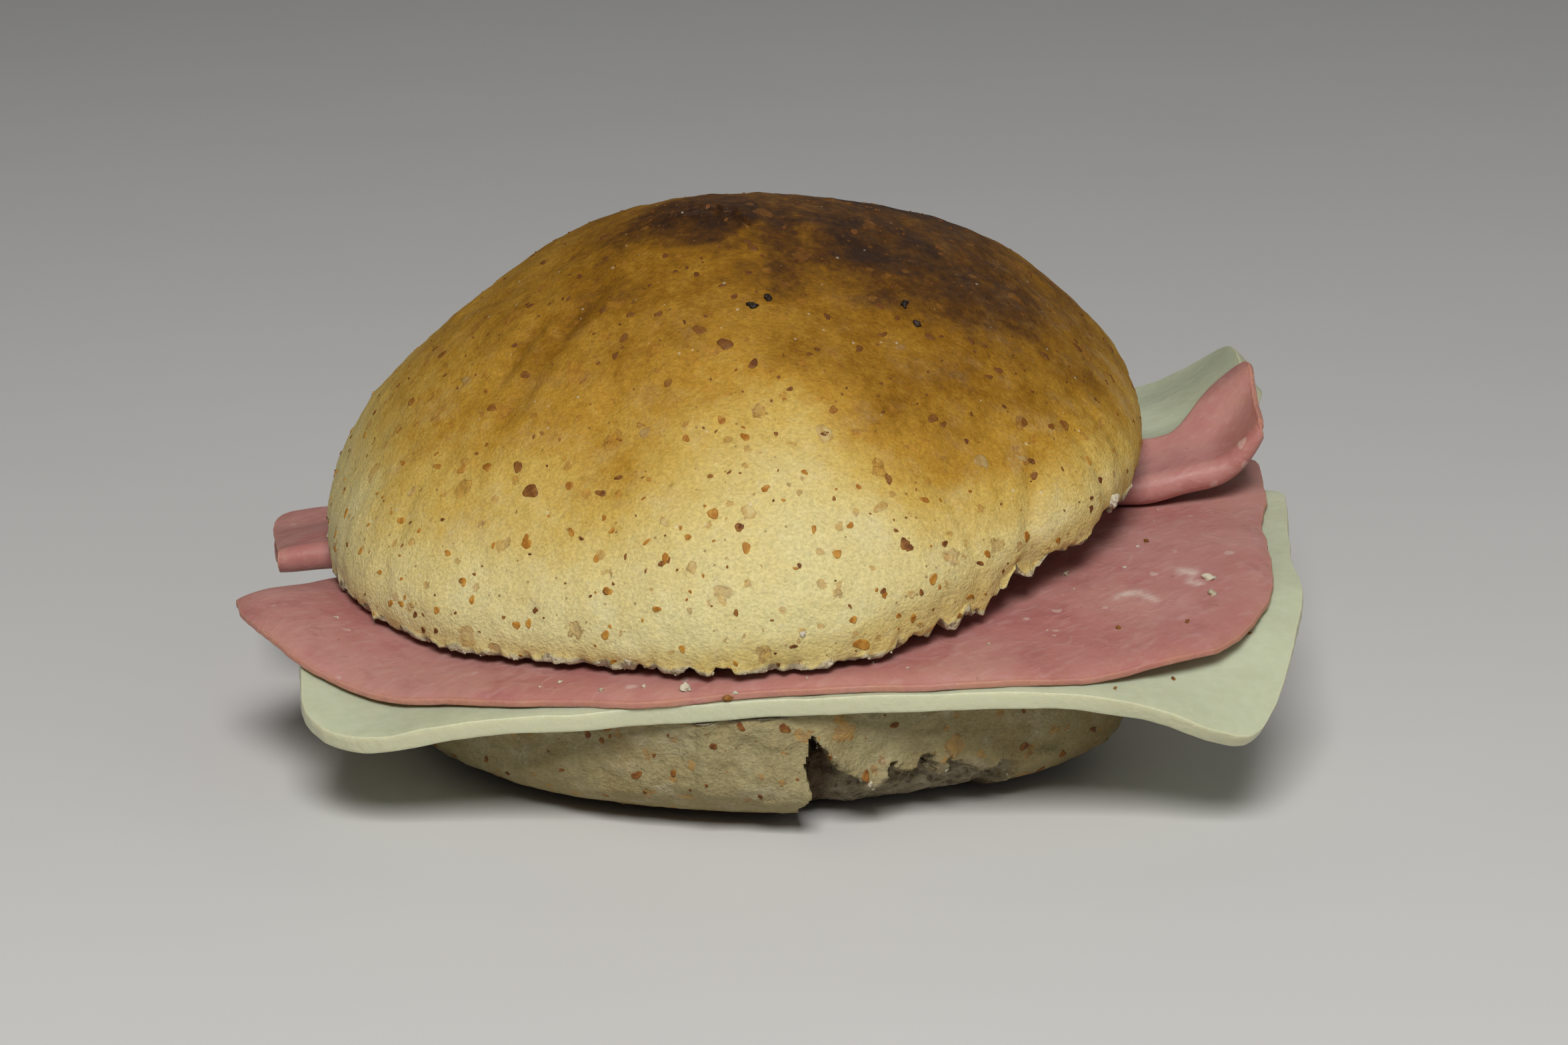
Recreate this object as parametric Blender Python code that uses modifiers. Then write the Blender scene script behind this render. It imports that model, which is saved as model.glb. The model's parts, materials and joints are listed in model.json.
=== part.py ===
"""Round bran roll cut in two and filled with two slices of cheese and two slices of ham.

The crown leans back to the left over the filling, the lower half sits on its flat base.
Sizes below are millimetres; +Z is up and the open front of the roll faces -Y.
A ramp is a pair: where it starts, and how far it takes to ease from 0 to 1.
"""

import math
from typing import NamedTuple

import bmesh
import bpy
import numpy as np


class Slice(NamedTuple):
    """Plan of a slice: centre, half length, half depth, and how square its corners are."""

    x: float
    y: float
    half_x: float
    half_y: float
    left_power: float
    right_power: float
    back_right_power: float


class Corner(NamedTuple):
    """A front corner of the lower cheese that hangs down."""

    bend: float
    start_y: float
    start_x: float
    reach: float
    limit: float
    power: float


MM = 0.001
GAP = 0.4
SEED = 41

# Cut face of the lower half, which carries the filling.
CUT_FRONT_Z = 15.2
CUT_FRONT_Y = -36.5
CUT_RISE_BACK = 0.100
CUT_RISE_RIGHT = 0.0725
CUT_BEND_RIGHT = 0.0125
CUT_BEND_SOFTNESS = 8.0
CUT_WAVE = 0.25
CUT_WAVELENGTH = 38.0
DIP_CENTRE = (-14.0, 21.0)
DIP_DEPTH = 2.6
DIP_RADIUS = 24.0
HUMP_START_Y = 25.0
HUMP_BEND = 0.0025
HUMP_EDGE_X = (22.0, 24.0)
BACK_DROOP = 6.4
BACK_DROOP_Y = (4.0, 26.0)
BACK_DROOP_LEFT = (28.0, 30.0)

# Lower half.
HEEL_CENTRE = (-4.0, 13.0)
HEEL_RIM_R = 49.0
HEEL_BELLY_R = 47.2
HEEL_FLAT_R = 30.0
HEEL_BELLY_Z = 7.5
HEEL_SEGMENTS = 128
HEEL_RINGS = 17
HEEL_BASE_RINGS = 2
HEEL_WALL_RINGS = 9
HEEL_BULGE = 2.6
HEEL_BULGE_AZIMUTH = math.radians(-41.0)
HEEL_BULGE_SPREAD = math.radians(11.0)
HEEL_DENSE_AZIMUTH = math.radians(-68.0)
HEEL_DENSITY = 0.60
HEEL_WAVE = 0.7
HEEL_WAVELENGTH = 26.0

# Torn crust at the front of the lower half.
TEAR_AZIMUTH = math.radians(-81.0)
TEAR_WIDTH = math.radians(4.5)
TEAR_DEPTH = 2.4
TEAR_TOP_Z = 12.5
TEAR_NEAR_SIDE = 0.015
TEAR_FAR_SIDE = 0.03
FLAP_LIFT = 2.2
FLAP_REACH = math.radians(16.0)
FLAP_TOP = (3.0, 10.0)
CRUMB_FROM = (math.radians(-77.0), 0.05)
CRUMB_TO = (math.radians(-53.0), 0.12)
CRUMB_EDGE_Z = 6.2
CRUMB_EDGE_RAG = 2.1
CRUMB_EDGE_STEP = 0.9
CRUMB_EDGE_PITCH = 0.14
CRUMB_DEPTH = 3.0
CRUMB_ROUGHNESS = 0.6
CRUMB_GRAIN = 3.2

# Upper half.
CROWN_CENTRE = (-5.9, 16.7, 29.1)
CROWN_TILT_BACK = math.radians(9.7)
CROWN_TILT_RIGHT = math.radians(8.5)
CROWN_R = 52.2
CROWN_H = 33.7
CROWN_POWER = 1.50
CROWN_TUCK = math.radians(11.0)
CROWN_SEGMENTS = 92
CROWN_RINGS = 25
CROWN_UNDER_RINGS = 8
CROWN_WALL_STEP = 0.4
CROWN_WAVE = 0.8
CROWN_WAVELENGTH = 44.0
CROWN_RIM_RAG = 0.7
CROWN_RIM_PITCH = 0.12
CROWN_RIM_FADE = 14.0
CROWN_FLAT = 1.7
CROWN_FLAT_AZIMUTH = (0.05, 0.50)
CROWN_FLAT_LIFT = (0.40, 0.32)
CROWN_SAG = 1.8
CROWN_SAG_AZIMUTH = math.radians(-66.0)
CROWN_SAG_SPREAD = math.radians(26.0)

# Slices.
CHEESE_T = 2.2
HAM_T = 1.4
CHEESE_LOWER = Slice(2.0, -8.5, 59.4, 28.0, 8.0, 24.0, 24.0)
HAM_LOWER = Slice(-4.3, 2.0, 62.7, 38.4, 2.4, 4.0, 9.0)
CHEESE_UPPER = Slice(5.4, 42.0, 55.4, 19.5, 6.0, 7.0, 7.0)
HAM_UPPER = Slice(-2.3, 13.5, 61.5, 40.0, 16.0, 14.0, 14.0)
SLICE_COLUMNS = 22
SLICE_ROWS = 12
CHEESE_RAG = 0.15
HAM_RAG = 0.25
RAG_WAVELENGTH = 16.0
MASK_MARGIN = 4.0
MASK_FADE = 15.0

# Right ends of both lower slices, which flare out a little towards the back.
FLARE = 0.085
FLARE_START_Y = -5.0
FLARE_RIGHT = (30.0, 25.0)

# Lower cheese: its front corners hang down and are drawn in.
RIGHT_CORNER = Corner(0.0162, 12.0, 5.0, 49.0, 1.3, 2.6)
LEFT_CORNER = Corner(0.0055, 14.0, 5.0, 46.0, 1.2, 4.0)
CORNER_DRAW = 0.58

# Lower ham: a straight back-left edge, a lifted left tip, and a front that bridges the hanging corners.
TRIM_POINT = (-56.6, 10.3)
TRIM_NORMAL = (-0.874, 0.485)
TIP_LIFT = 3.4
TIP_LEFT = (44.0, 22.0)
TIP_FRONT = (-12.0, 20.0)
HAM_HANG = 0.35
HAM_HANG_RIGHT = (32.0, 14.0)

# Upper slices: the cheese lies turned a little, the ham is folded in two, and both curl up at the right.
UPPER_SKEW = 0.09
UPPER_SKEW_X = 50.0
CURL_RISE = 7.0
CURL_START_X = 46.0
CURL_LENGTH = 14.6
CURL_LIMIT = 1.1
TURN_UP = 8.0
TURN_UP_START_X = 50.0
TURN_UP_LENGTH = 10.0
TURN_UP_POWER = 2.5
TURN_UP_SOFTNESS = 2.5
TURN_UP_SOFT_X = (44.0, 8.0)
FREE_EDGE_LIFT = 1.0
FREE_EDGE_X = (46.0, 9.0)
FREE_EDGE_START_Y = 12.0
FREE_EDGE_LENGTH = 16.0
FREE_EDGE_LIMIT = 1.2
STEP_UP_X = (30.0, 12.0)
STEP_UP_Y = (15.5, 8.0)
FOLD_FRONT_Y = 15.5
FOLD_FORWARD = 5.0
FOLD_FORWARD_X = (-10.0, 50.0)
FOLD_DEPTH_LEFT = 28.0
FOLD_DEPTH_GAIN = 9.0
FOLD_DEPTH_GAIN_X = (-50.0, 40.0)
FOLD_DEPTH_LOSS = 28.0
FOLD_DEPTH_LOSS_X = (4.0, 38.0)
FOLD_DEPTH_TIP = 8.0
FOLD_DEPTH_TIP_X = (48.5, 9.5)
FOLD_COLUMNS = 22
FOLD_ROWS = 18
FOLD_GAP = 0.8
FOLD_BEND_SHARE = 0.222
END_SLANT = 0.16
END_SLANT_LEFT = (0.0, 60.0)

# Room that the crown leaves round the folded ham.
ROOM_FRONT = (-10.0, 5.0)
ROOM_BACK = (-12.0, 6.0)
ROOM_END = (0.98, 0.08)


def smooth(t):
    """Eased step from 0 to 1."""
    t = np.clip(t, 0.0, 1.0)
    return t * t * (3.0 - 2.0 * t)


def rise(value, ramp):
    """Eased step from 0 to 1 along a ramp."""
    return smooth((value - ramp[0]) / ramp[1])


def bell(value, centre, spread):
    """Bell curve of height 1."""
    return np.exp(-(((value - centre) / spread) ** 2))


def ripple(points, wavelength, seed, waves=10):
    """Gentle seeded waviness in about -1..1, from a few plane waves of random direction."""
    rng = np.random.default_rng(seed)
    axes = rng.normal(size=(waves, points.shape[-1]))
    axes /= np.linalg.norm(axes, axis=1, keepdims=True)
    pitch = rng.uniform(0.7, 1.4, waves) * 2.0 * np.pi / wavelength
    phase = rng.uniform(0.0, 2.0 * np.pi, waves)
    return np.cos(points @ (axes * pitch[:, None]).T + phase).sum(axis=-1) / math.sqrt(waves)


def cut_face(x, y):
    """Height of the lower half's cut face, carried on past its rim as the lie of the slices."""
    hump = HUMP_BEND * np.maximum(y - HUMP_START_Y, 0.0) ** 2 * (1.0 - rise(np.abs(x), HUMP_EDGE_X))
    droop = BACK_DROOP * rise(y, BACK_DROOP_Y) * rise(-x, BACK_DROOP_LEFT)
    wave = CUT_WAVE * ripple(np.stack([x, y], axis=-1), CUT_WAVELENGTH, SEED)
    plane = CUT_FRONT_Z + CUT_RISE_BACK * (y - CUT_FRONT_Y) + CUT_RISE_RIGHT * x
    bend = CUT_BEND_RIGHT * (np.sqrt(x**2 + CUT_BEND_SOFTNESS**2) - CUT_BEND_SOFTNESS)
    dip = DIP_DEPTH * np.exp(-((x - DIP_CENTRE[0]) ** 2 + (y - DIP_CENTRE[1]) ** 2) / DIP_RADIUS**2)
    return plane + bend + hump - dip - droop + wave


def hang(corner, outward, y):
    """How far one front corner of the lower cheese hangs down."""
    along = np.clip((outward - corner.start_x) / corner.reach, 0.0, corner.limit) ** corner.power
    return corner.bend * np.maximum(-y - corner.start_y, 0.0) ** 2 * along


def corner_droop(x, y):
    """How far the front corners of the lower cheese hang below the lie of the slices."""
    return hang(RIGHT_CORNER, x, y) + hang(LEFT_CORNER, -x, y)


def heel_top(x, y):
    """Cut face of the lower half, which gives way a little under the drooping cheese corners."""
    return cut_face(x, y) - corner_droop(x, y)


def corner_power(size, along, across):
    """Corner power over a slice, eased from its left end to its right end and from front to back."""
    right = size.right_power + (size.back_right_power - size.right_power) * smooth(across + 0.5)
    return size.left_power + (right - size.left_power) * smooth(along + 0.5)


def cover(size, x, y):
    """1 over a slice, easing to 0 a little way outside its edge."""
    along, across = (x - size.x) / size.half_x, (y - size.y) / size.half_y
    power = corner_power(size, along, across)
    level = (np.abs(along) ** power + np.abs(across) ** power) ** (1.0 / power)
    outside = (level - 1.0) * min(size.half_x, size.half_y)
    return 1.0 - rise(outside, (MASK_MARGIN, MASK_FADE))


def tip_lift(x, y):
    """Upward curl of the left end of the lower slices."""
    return TIP_LIFT * rise(-x, TIP_LEFT) * rise(-y, TIP_FRONT)


def back_curl(x):
    """Upward curl of the right end of the upper cheese."""
    return CURL_RISE * np.clip((x - CURL_START_X) / CURL_LENGTH, 0.0, CURL_LIMIT) ** 2


def past_trim(x, y):
    """Distance beyond the straight back-left edge of the lower ham."""
    return (x - TRIM_POINT[0]) * TRIM_NORMAL[0] + (y - TRIM_POINT[1]) * TRIM_NORMAL[1]


def upper_skew(x):
    """How far back the upper cheese lies along its length, being turned a little."""
    return UPPER_SKEW * (UPPER_SKEW_X - x)


def on_cheese_lower(x, y):
    """Height that the lower cheese adds under what lies on it."""
    return cover(CHEESE_LOWER, x, y) * (CHEESE_T + GAP)


def on_ham_lower(x, y):
    """Height that the lower ham adds under what lies on it."""
    trimmed = 1.0 - rise(past_trim(x, y), (MASK_MARGIN, MASK_FADE))
    return cover(HAM_LOWER, x, y) * trimmed * (HAM_T + GAP)


def on_cheese_upper(x, y):
    """Height that the upper cheese adds; at its right end the ham steps up onto it late."""
    early = 1.0 - rise(x, STEP_UP_X) * (1.0 - rise(y, STEP_UP_Y))
    return cover(CHEESE_UPPER, x, y - upper_skew(x)) * (CHEESE_T + GAP + back_curl(x)) * early


def cheese_lower_base(x, y):
    """Underside of the lower cheese."""
    return cut_face(x, y) + GAP - corner_droop(x, y) + tip_lift(x, y)


def ham_lower_base(x, y):
    """Underside of the lower ham, which bridges the drooping cheese corners."""
    bridged = 1.0 - (1.0 - HAM_HANG) * rise(x, HAM_HANG_RIGHT)
    share = np.where(x > 0.0, bridged, HAM_HANG)
    return cut_face(x, y) + GAP + on_cheese_lower(x, y) - share * corner_droop(x, y) + tip_lift(x, y)


def cheese_upper_base(x, y):
    """Underside of the upper cheese."""
    return cut_face(x, y) + GAP + on_cheese_lower(x, y) + on_ham_lower(x, y) + back_curl(x)


def ham_upper_base(x, y):
    """Underside of the folded ham."""
    turned_up = TURN_UP * np.clip((x - TURN_UP_START_X) / TURN_UP_LENGTH, 0.0, CURL_LIMIT) ** TURN_UP_POWER
    along = np.clip((y - FREE_EDGE_START_Y) / FREE_EDGE_LENGTH, 0.0, FREE_EDGE_LIMIT)
    free_edge = FREE_EDGE_LIFT * rise(x, FREE_EDGE_X) * along
    lower = cut_face(x, y) + GAP + on_cheese_lower(x, y) + on_ham_lower(x, y)
    lie = on_cheese_upper(x, y)
    blend = np.hypot(lie - turned_up, TURN_UP_SOFTNESS * rise(x, TURN_UP_SOFT_X))
    return lower + (lie + turned_up + blend) / 2.0 + free_edge


def fold_line(x):
    """Front of the folded ham along its length."""
    return FOLD_FRONT_Y - FOLD_FORWARD * rise(x, FOLD_FORWARD_X)


def fold_depth(x):
    """Depth of each leaf of the folded ham, from the fold to its free edge."""
    left = FOLD_DEPTH_LEFT + FOLD_DEPTH_GAIN * rise(x, FOLD_DEPTH_GAIN_X)
    return left - FOLD_DEPTH_LOSS * rise(x, FOLD_DEPTH_LOSS_X) + FOLD_DEPTH_TIP * rise(x, FOLD_DEPTH_TIP_X)


def filling_top(x, y):
    """Top of whatever lies under the crown."""
    inside = rise(y - fold_line(x), ROOM_FRONT)
    inside = inside * rise(fold_line(x) + fold_depth(x) - y, ROOM_BACK)
    inside = inside * (1.0 - rise(np.abs(x - HAM_UPPER.x) / HAM_UPPER.half_x, ROOM_END))
    doubled = ham_upper_base(x, y) + inside * (2.0 * HAM_T + FOLD_GAP)
    single = ham_lower_base(x, y) + HAM_T
    return np.maximum(doubled, single)


def squircle(grid, power):
    """Carries the square -1..1 grid onto a rounded square of the given corner power."""
    reach = np.abs(grid).max(axis=1)
    spread = (np.abs(grid[:, 0]) ** power + np.abs(grid[:, 1]) ** power) ** (1.0 / power)
    return grid * (reach / np.maximum(spread, 1e-9))[:, None]


def new_object(name, mesh_data, collection, finish):
    """Turns edited mesh data into a named object in the collection with its finish."""
    mesh = bpy.data.meshes.new(name)
    mesh_data.to_mesh(mesh)
    mesh_data.free()
    mesh.materials.append(finish)
    thing = bpy.data.objects.new(name, mesh)
    collection.objects.link(thing)
    return thing


def place(mesh_data, points):
    """Moves every vertex to its row of points, given in millimetres."""
    for vert, point in zip(mesh_data.verts, points):
        vert.co = point * MM


def flat_grid(columns, rows):
    """Triangulated square grid over -1..1 and its vertex positions."""
    data = bmesh.new()
    bmesh.ops.create_grid(data, x_segments=columns, y_segments=rows, size=1.0)
    bmesh.ops.triangulate(data, faces=data.faces[:], quad_method="FIXED")
    return data, np.array([vert.co[:2] for vert in data.verts])


def thicken(thing, thickness):
    """Gives a sheet its thickness, evenly to both sides."""
    solid = thing.modifiers.new("thickness", "SOLIDIFY")
    solid.thickness = thickness * MM
    solid.offset = 0.0
    solid.use_even_offset = True
    solid.use_rim = True


def slice_outline(size, grid, rag, seed):
    """Plan position of each grid vertex of a slice, with a slightly uneven edge."""
    unit = squircle(grid, corner_power(size, grid[:, 0], grid[:, 1]))
    half = np.array([size.half_x, size.half_y])
    reach = np.abs(grid).max(axis=1)
    uneven = ripple(unit * half, RAG_WAVELENGTH, seed) * rag * reach**6
    flat = unit * (half + uneven[:, None])
    return size.x + flat[:, 0], size.y + flat[:, 1], reach


def flared(x, y):
    """Moves the right end of a lower slice out, more towards the back."""
    return x + FLARE * np.maximum(y - FLARE_START_Y, 0.0) * rise(x, FLARE_RIGHT)


def drawn_in(x, y, _reach):
    """Draws the drooping front corners of the lower cheese in towards the middle."""
    return flared(x - CORNER_DRAW * np.sign(x) * corner_droop(x, y), y), y


def turned_back(x, y, _reach):
    """Turns the upper cheese so that its left end lies further back."""
    return x, y + upper_skew(x)


def pointed_left(x, y, reach):
    """Trims the back left of the lower ham to a straight edge with a tip, and flares its right end."""
    limit = -past_trim(HAM_LOWER.x, HAM_LOWER.y)
    out = (past_trim(x, y) + limit) / np.maximum(reach, 1e-6)
    shrink = np.minimum(limit / np.maximum(out, 1e-6), 1.0)
    x, y = HAM_LOWER.x + (x - HAM_LOWER.x) * shrink, HAM_LOWER.y + (y - HAM_LOWER.y) * shrink
    return flared(x, y), y


def build_slice(name, size, thickness, base, shape, rag, collection, finish):
    """Builds a flat slice that lies on its base surface."""
    data, grid = flat_grid(SLICE_COLUMNS, SLICE_ROWS)
    x, y = shape(*slice_outline(size, grid, rag, SEED + len(name)))
    middle = base(x, y) + thickness / 2.0
    place(data, np.stack([x, y, middle], axis=1))
    thing = new_object(name, data, collection, finish)
    thicken(thing, thickness)
    return thing


def build_folded_slice(name, collection, finish):
    """Builds the ham slice folded in two along its length, fold to the front."""
    data, grid = flat_grid(FOLD_COLUMNS, FOLD_ROWS)
    unit = squircle(grid, corner_power(HAM_UPPER, grid[:, 0], grid[:, 1]))
    off_fold = np.abs(grid[:, 1]) > 1e-6
    shrink = np.where(off_fold, unit[:, 1] / np.where(off_fold, grid[:, 1], 1.0), 1.0)
    x = HAM_UPPER.x + HAM_UPPER.half_x * unit[:, 0]
    bend_r = (HAM_T + FOLD_GAP) / 2.0
    share = np.abs(grid[:, 1])
    turn = np.sign(grid[:, 1]) * np.clip(share / FOLD_BEND_SHARE, 0.0, 1.0) * math.pi / 2.0
    leaf = np.clip((share - FOLD_BEND_SHARE) / (1.0 - FOLD_BEND_SHARE), 0.0, 1.0)
    straight = leaf * shrink * fold_depth(x)
    y = fold_line(x) + bend_r * (1.0 - np.cos(turn)) + straight
    x = x - END_SLANT * straight * rise(-x, END_SLANT_LEFT)
    z = ham_upper_base(x, y) + HAM_T / 2.0 + bend_r * (1.0 + np.sin(turn))
    place(data, np.stack([x, y, z], axis=1))
    thing = new_object(name, data, collection, finish)
    thicken(thing, HAM_T)
    return thing


def ball(segments, rings):
    """Ball mesh with each vertex's azimuth and its ring number counted up from the bottom pole."""
    data = bmesh.new()
    bmesh.ops.create_uvsphere(data, u_segments=segments, v_segments=rings, radius=1.0)
    where = np.array([vert.co[:] for vert in data.verts])
    azimuth = np.arctan2(where[:, 1], where[:, 0])
    ring = np.rint(np.arccos(np.clip(-where[:, 2], -1.0, 1.0)) / math.pi * rings).astype(int)
    return data, azimuth, ring


def crumb_edge(azimuth):
    """Height of the ragged lower edge of the torn crust."""
    circle = np.stack([np.cos(azimuth), np.sin(azimuth)], axis=-1)
    return CRUMB_EDGE_Z + CRUMB_EDGE_RAG * ripple(circle, CRUMB_EDGE_PITCH, SEED + 5)


def torn_relief(azimuth, z):
    """Outward relief of the torn crust at the front of the lower half."""
    before = (TEAR_AZIMUTH - azimuth) / FLAP_REACH
    flap = np.where((before > 0.0) & (before < 1.0), FLAP_LIFT * (1.0 - before) ** 2, 0.0)
    flap = flap * (1.0 - rise(z, FLAP_TOP))
    far_side = TEAR_AZIMUTH + TEAR_WIDTH * (1.0 - z / TEAR_TOP_Z)
    in_tear = smooth((azimuth - TEAR_AZIMUTH) / TEAR_NEAR_SIDE)
    in_tear = in_tear * (1.0 - smooth((azimuth - far_side) / TEAR_FAR_SIDE))
    tear = TEAR_DEPTH * in_tear * (z < TEAR_TOP_Z)
    span = rise(azimuth, CRUMB_FROM) * (1.0 - rise(azimuth, CRUMB_TO))
    below = smooth((crumb_edge(azimuth) - z) / CRUMB_EDGE_STEP) * span
    rough = CRUMB_ROUGHNESS * ripple(np.stack([azimuth * HEEL_RIM_R, z], axis=-1), CRUMB_GRAIN, SEED + 8)
    bulge = HEEL_BULGE * bell(azimuth, HEEL_BULGE_AZIMUTH, HEEL_BULGE_SPREAD)
    return flap - tear - below * (CRUMB_DEPTH + rough) + bulge


def heel_wave(circle, z):
    """Slow unevenness of the lower half's side."""
    return HEEL_WAVE * ripple(np.column_stack([circle * HEEL_RIM_R, z]), HEEL_WAVELENGTH, SEED + 2)


def denser_at_front(azimuth):
    """Draws the columns of the lower half together round its torn front."""
    turn = (azimuth / (2.0 * math.pi) + 0.5) % 1.0 - 0.5
    spread = HEEL_DENSITY * turn + (1.0 - HEEL_DENSITY) * 4.0 * turn**3
    azimuth = HEEL_DENSE_AZIMUTH + 2.0 * math.pi * spread
    return (azimuth + math.pi) % (2.0 * math.pi) - math.pi


def build_heel(name, collection, finish):
    """Builds the lower half: flat base, rounded belly, torn front crust and sloping cut face."""
    data, azimuth, ring = ball(HEEL_SEGMENTS, HEEL_RINGS)
    azimuth = denser_at_front(azimuth)
    circle = np.stack([np.cos(azimuth), np.sin(azimuth)], axis=1)
    rim = np.array(HEEL_CENTRE) + circle * HEEL_RIM_R
    rim_z = heel_top(rim[:, 0], rim[:, 1])
    top_rings = HEEL_RINGS - HEEL_BASE_RINGS - HEEL_WALL_RINGS
    base_t = ring / HEEL_BASE_RINGS
    wall_t = (ring - HEEL_BASE_RINGS) / HEEL_WALL_RINGS
    top_t = (ring - HEEL_BASE_RINGS - HEEL_WALL_RINGS) / top_rings
    curl = np.clip(wall_t * 2.0, 0.0, 1.0) * math.pi / 2.0
    side = np.clip(wall_t * 2.0 - 1.0, 0.0, 1.0)
    radius = HEEL_FLAT_R + (HEEL_BELLY_R - HEEL_FLAT_R) * np.sin(curl) + (HEEL_RIM_R - HEEL_BELLY_R) * side
    z = HEEL_BELLY_Z * (1.0 - np.cos(curl)) + (rim_z - HEEL_BELLY_Z) * side
    radius = radius + (heel_wave(circle, z) + torn_relief(azimuth, z)) * np.sin(curl)
    radius = np.where(base_t < 1.0, HEEL_FLAT_R * base_t, radius)
    z = np.where(base_t <= 1.0, 0.0, z)
    top_radius = (HEEL_RIM_R + heel_wave(circle, rim_z)) * (1.0 - top_t)
    radius = np.where(top_t > 0.0, top_radius, radius)
    xy = np.array(HEEL_CENTRE) + circle * radius[:, None]
    z = np.where(top_t >= 0.0, heel_top(xy[:, 0], xy[:, 1]), z)
    place(data, np.column_stack([xy, z]))
    return new_object(name, data, collection, finish)


def crown_turn():
    """Rotation that leans the crown: back edge up, right side up."""
    cb, sb = math.cos(CROWN_TILT_BACK), math.sin(CROWN_TILT_BACK)
    cr, sr = math.cos(CROWN_TILT_RIGHT), math.sin(CROWN_TILT_RIGHT)
    about_x = np.array([[1.0, 0.0, 0.0], [0.0, cb, -sb], [0.0, sb, cb]])
    about_y = np.array([[cr, 0.0, -sr], [0.0, 1.0, 0.0], [sr, 0.0, cr]])
    return about_x @ about_y


def build_crown(name, collection, finish):
    """Builds the domed upper half with its uneven skin, ragged rim and hollowed cut face."""
    data, azimuth, ring = ball(CROWN_SEGMENTS, CROWN_RINGS)
    circle = np.stack([np.cos(azimuth), np.sin(azimuth)], axis=1)
    dome_t = np.clip((ring - CROWN_UNDER_RINGS) / (CROWN_RINGS - CROWN_UNDER_RINGS), 0.0, 1.0)
    lift = dome_t * (math.pi / 2.0 + CROWN_TUCK) - CROWN_TUCK
    radius = CROWN_R * np.abs(np.cos(lift)) ** (2.0 / CROWN_POWER)
    flat_side = bell(azimuth, *CROWN_FLAT_AZIMUTH) * bell(lift, *CROWN_FLAT_LIFT)
    radius = radius - CROWN_FLAT * flat_side
    height = CROWN_H * np.sign(np.sin(lift)) * np.abs(np.sin(lift)) ** (2.0 / CROWN_POWER)
    height = height + CROWN_H * math.sin(CROWN_TUCK) ** (2.0 / CROWN_POWER)
    local = np.column_stack([circle * radius[:, None], height])
    swell = 1.0 + CROWN_WAVE / CROWN_R * ripple(local, CROWN_WAVELENGTH, SEED + 3)
    local = local * swell[:, None]
    sag = CROWN_SAG * bell(azimuth, CROWN_SAG_AZIMUTH, CROWN_SAG_SPREAD)
    rag = CROWN_RIM_RAG * ripple(circle, CROWN_RIM_PITCH, SEED + 4) - sag
    local[:, 2] += rag * np.exp(-((lift + CROWN_TUCK) * CROWN_RIM_FADE) ** 2)
    local = local * np.clip(ring / CROWN_UNDER_RINGS, 0.0, 1.0)[:, None]
    world = local @ crown_turn().T + np.array(CROWN_CENTRE)
    above_rim = np.maximum(ring - CROWN_UNDER_RINGS, 0)
    clear = filling_top(world[:, 0], world[:, 1]) + GAP + CROWN_WALL_STEP * above_rim
    world[:, 2] = np.maximum(world[:, 2], clear)
    place(data, world)
    return new_object(name, data, collection, finish)


def make_finish(name, colour, roughness):
    """Principled finish with a plain colour."""
    finish = bpy.data.materials.new(name)
    finish.use_nodes = True
    shader = finish.node_tree.nodes["Principled BSDF"]
    shader.inputs["Base Color"].default_value = (*colour, 1.0)
    shader.inputs["Roughness"].default_value = roughness
    shader.inputs["Metallic"].default_value = 0.0
    return finish


def centre_on_origin(things):
    """Moves the parts together so that their common box is centred over the origin and stands on it."""
    depsgraph = bpy.context.evaluated_depsgraph_get()
    corners = []
    for thing in things:
        mesh = thing.evaluated_get(depsgraph).to_mesh()
        corners.append(np.array([vert.co[:] for vert in mesh.vertices]))
    every = np.concatenate(corners)
    low, high = every.min(axis=0), every.max(axis=0)
    offset = np.array([-(low[0] + high[0]) / 2.0, -(low[1] + high[1]) / 2.0, -low[2]])
    for thing in things:
        for vert in thing.data.vertices:
            vert.co = np.array(vert.co) + offset


def main():
    """Clears the file and builds the filled roll."""
    for old in list(bpy.data.objects):
        bpy.data.objects.remove(old, do_unlink=True)
    roll = bpy.data.collections.new("filled_bran_roll")
    bpy.context.scene.collection.children.link(roll)
    crust = make_finish("golden_crust", (0.56, 0.34, 0.12), 0.62)
    heel_crust = make_finish("pale_crust", (0.62, 0.46, 0.26), 0.75)
    front_cheese = make_finish("pale_cheese", (0.86, 0.80, 0.52), 0.42)
    back_cheese = make_finish("pale_cheese_back", (0.86, 0.80, 0.52), 0.42)
    flat_ham = make_finish("pink_ham", (0.78, 0.36, 0.32), 0.38)
    folded_ham = make_finish("pink_ham_folded", (0.78, 0.36, 0.32), 0.38)
    things = [
        build_heel("heel", roll, heel_crust),
        build_slice("cheese_lower", CHEESE_LOWER, CHEESE_T, cheese_lower_base,
                    drawn_in, CHEESE_RAG, roll, front_cheese),
        build_slice("ham_lower", HAM_LOWER, HAM_T, ham_lower_base,
                    pointed_left, HAM_RAG, roll, flat_ham),
        build_slice("cheese_upper", CHEESE_UPPER, CHEESE_T, cheese_upper_base,
                    turned_back, CHEESE_RAG, roll, back_cheese),
        build_folded_slice("ham_upper", roll, folded_ham),
        build_crown("crown", roll, crust),
    ]
    centre_on_origin(things)


main()
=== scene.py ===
"""Finish of a filled bran roll: baked crusts, torn crumb, cheese, ham, bran flakes and loose crumbs.

Lengths are millimetres in the roll's own layout, +Z up and the open front facing -Y; to_frame carries them
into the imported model's metres. A ramp is a pair: where it starts, and how far it takes to ease from 0 to 1.
"""

import json
import logging
import math
from collections.abc import Callable
from dataclasses import dataclass, field
from enum import Enum

import bpy
import numpy as np
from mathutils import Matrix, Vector
from mathutils.bvhtree import BVHTree

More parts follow.
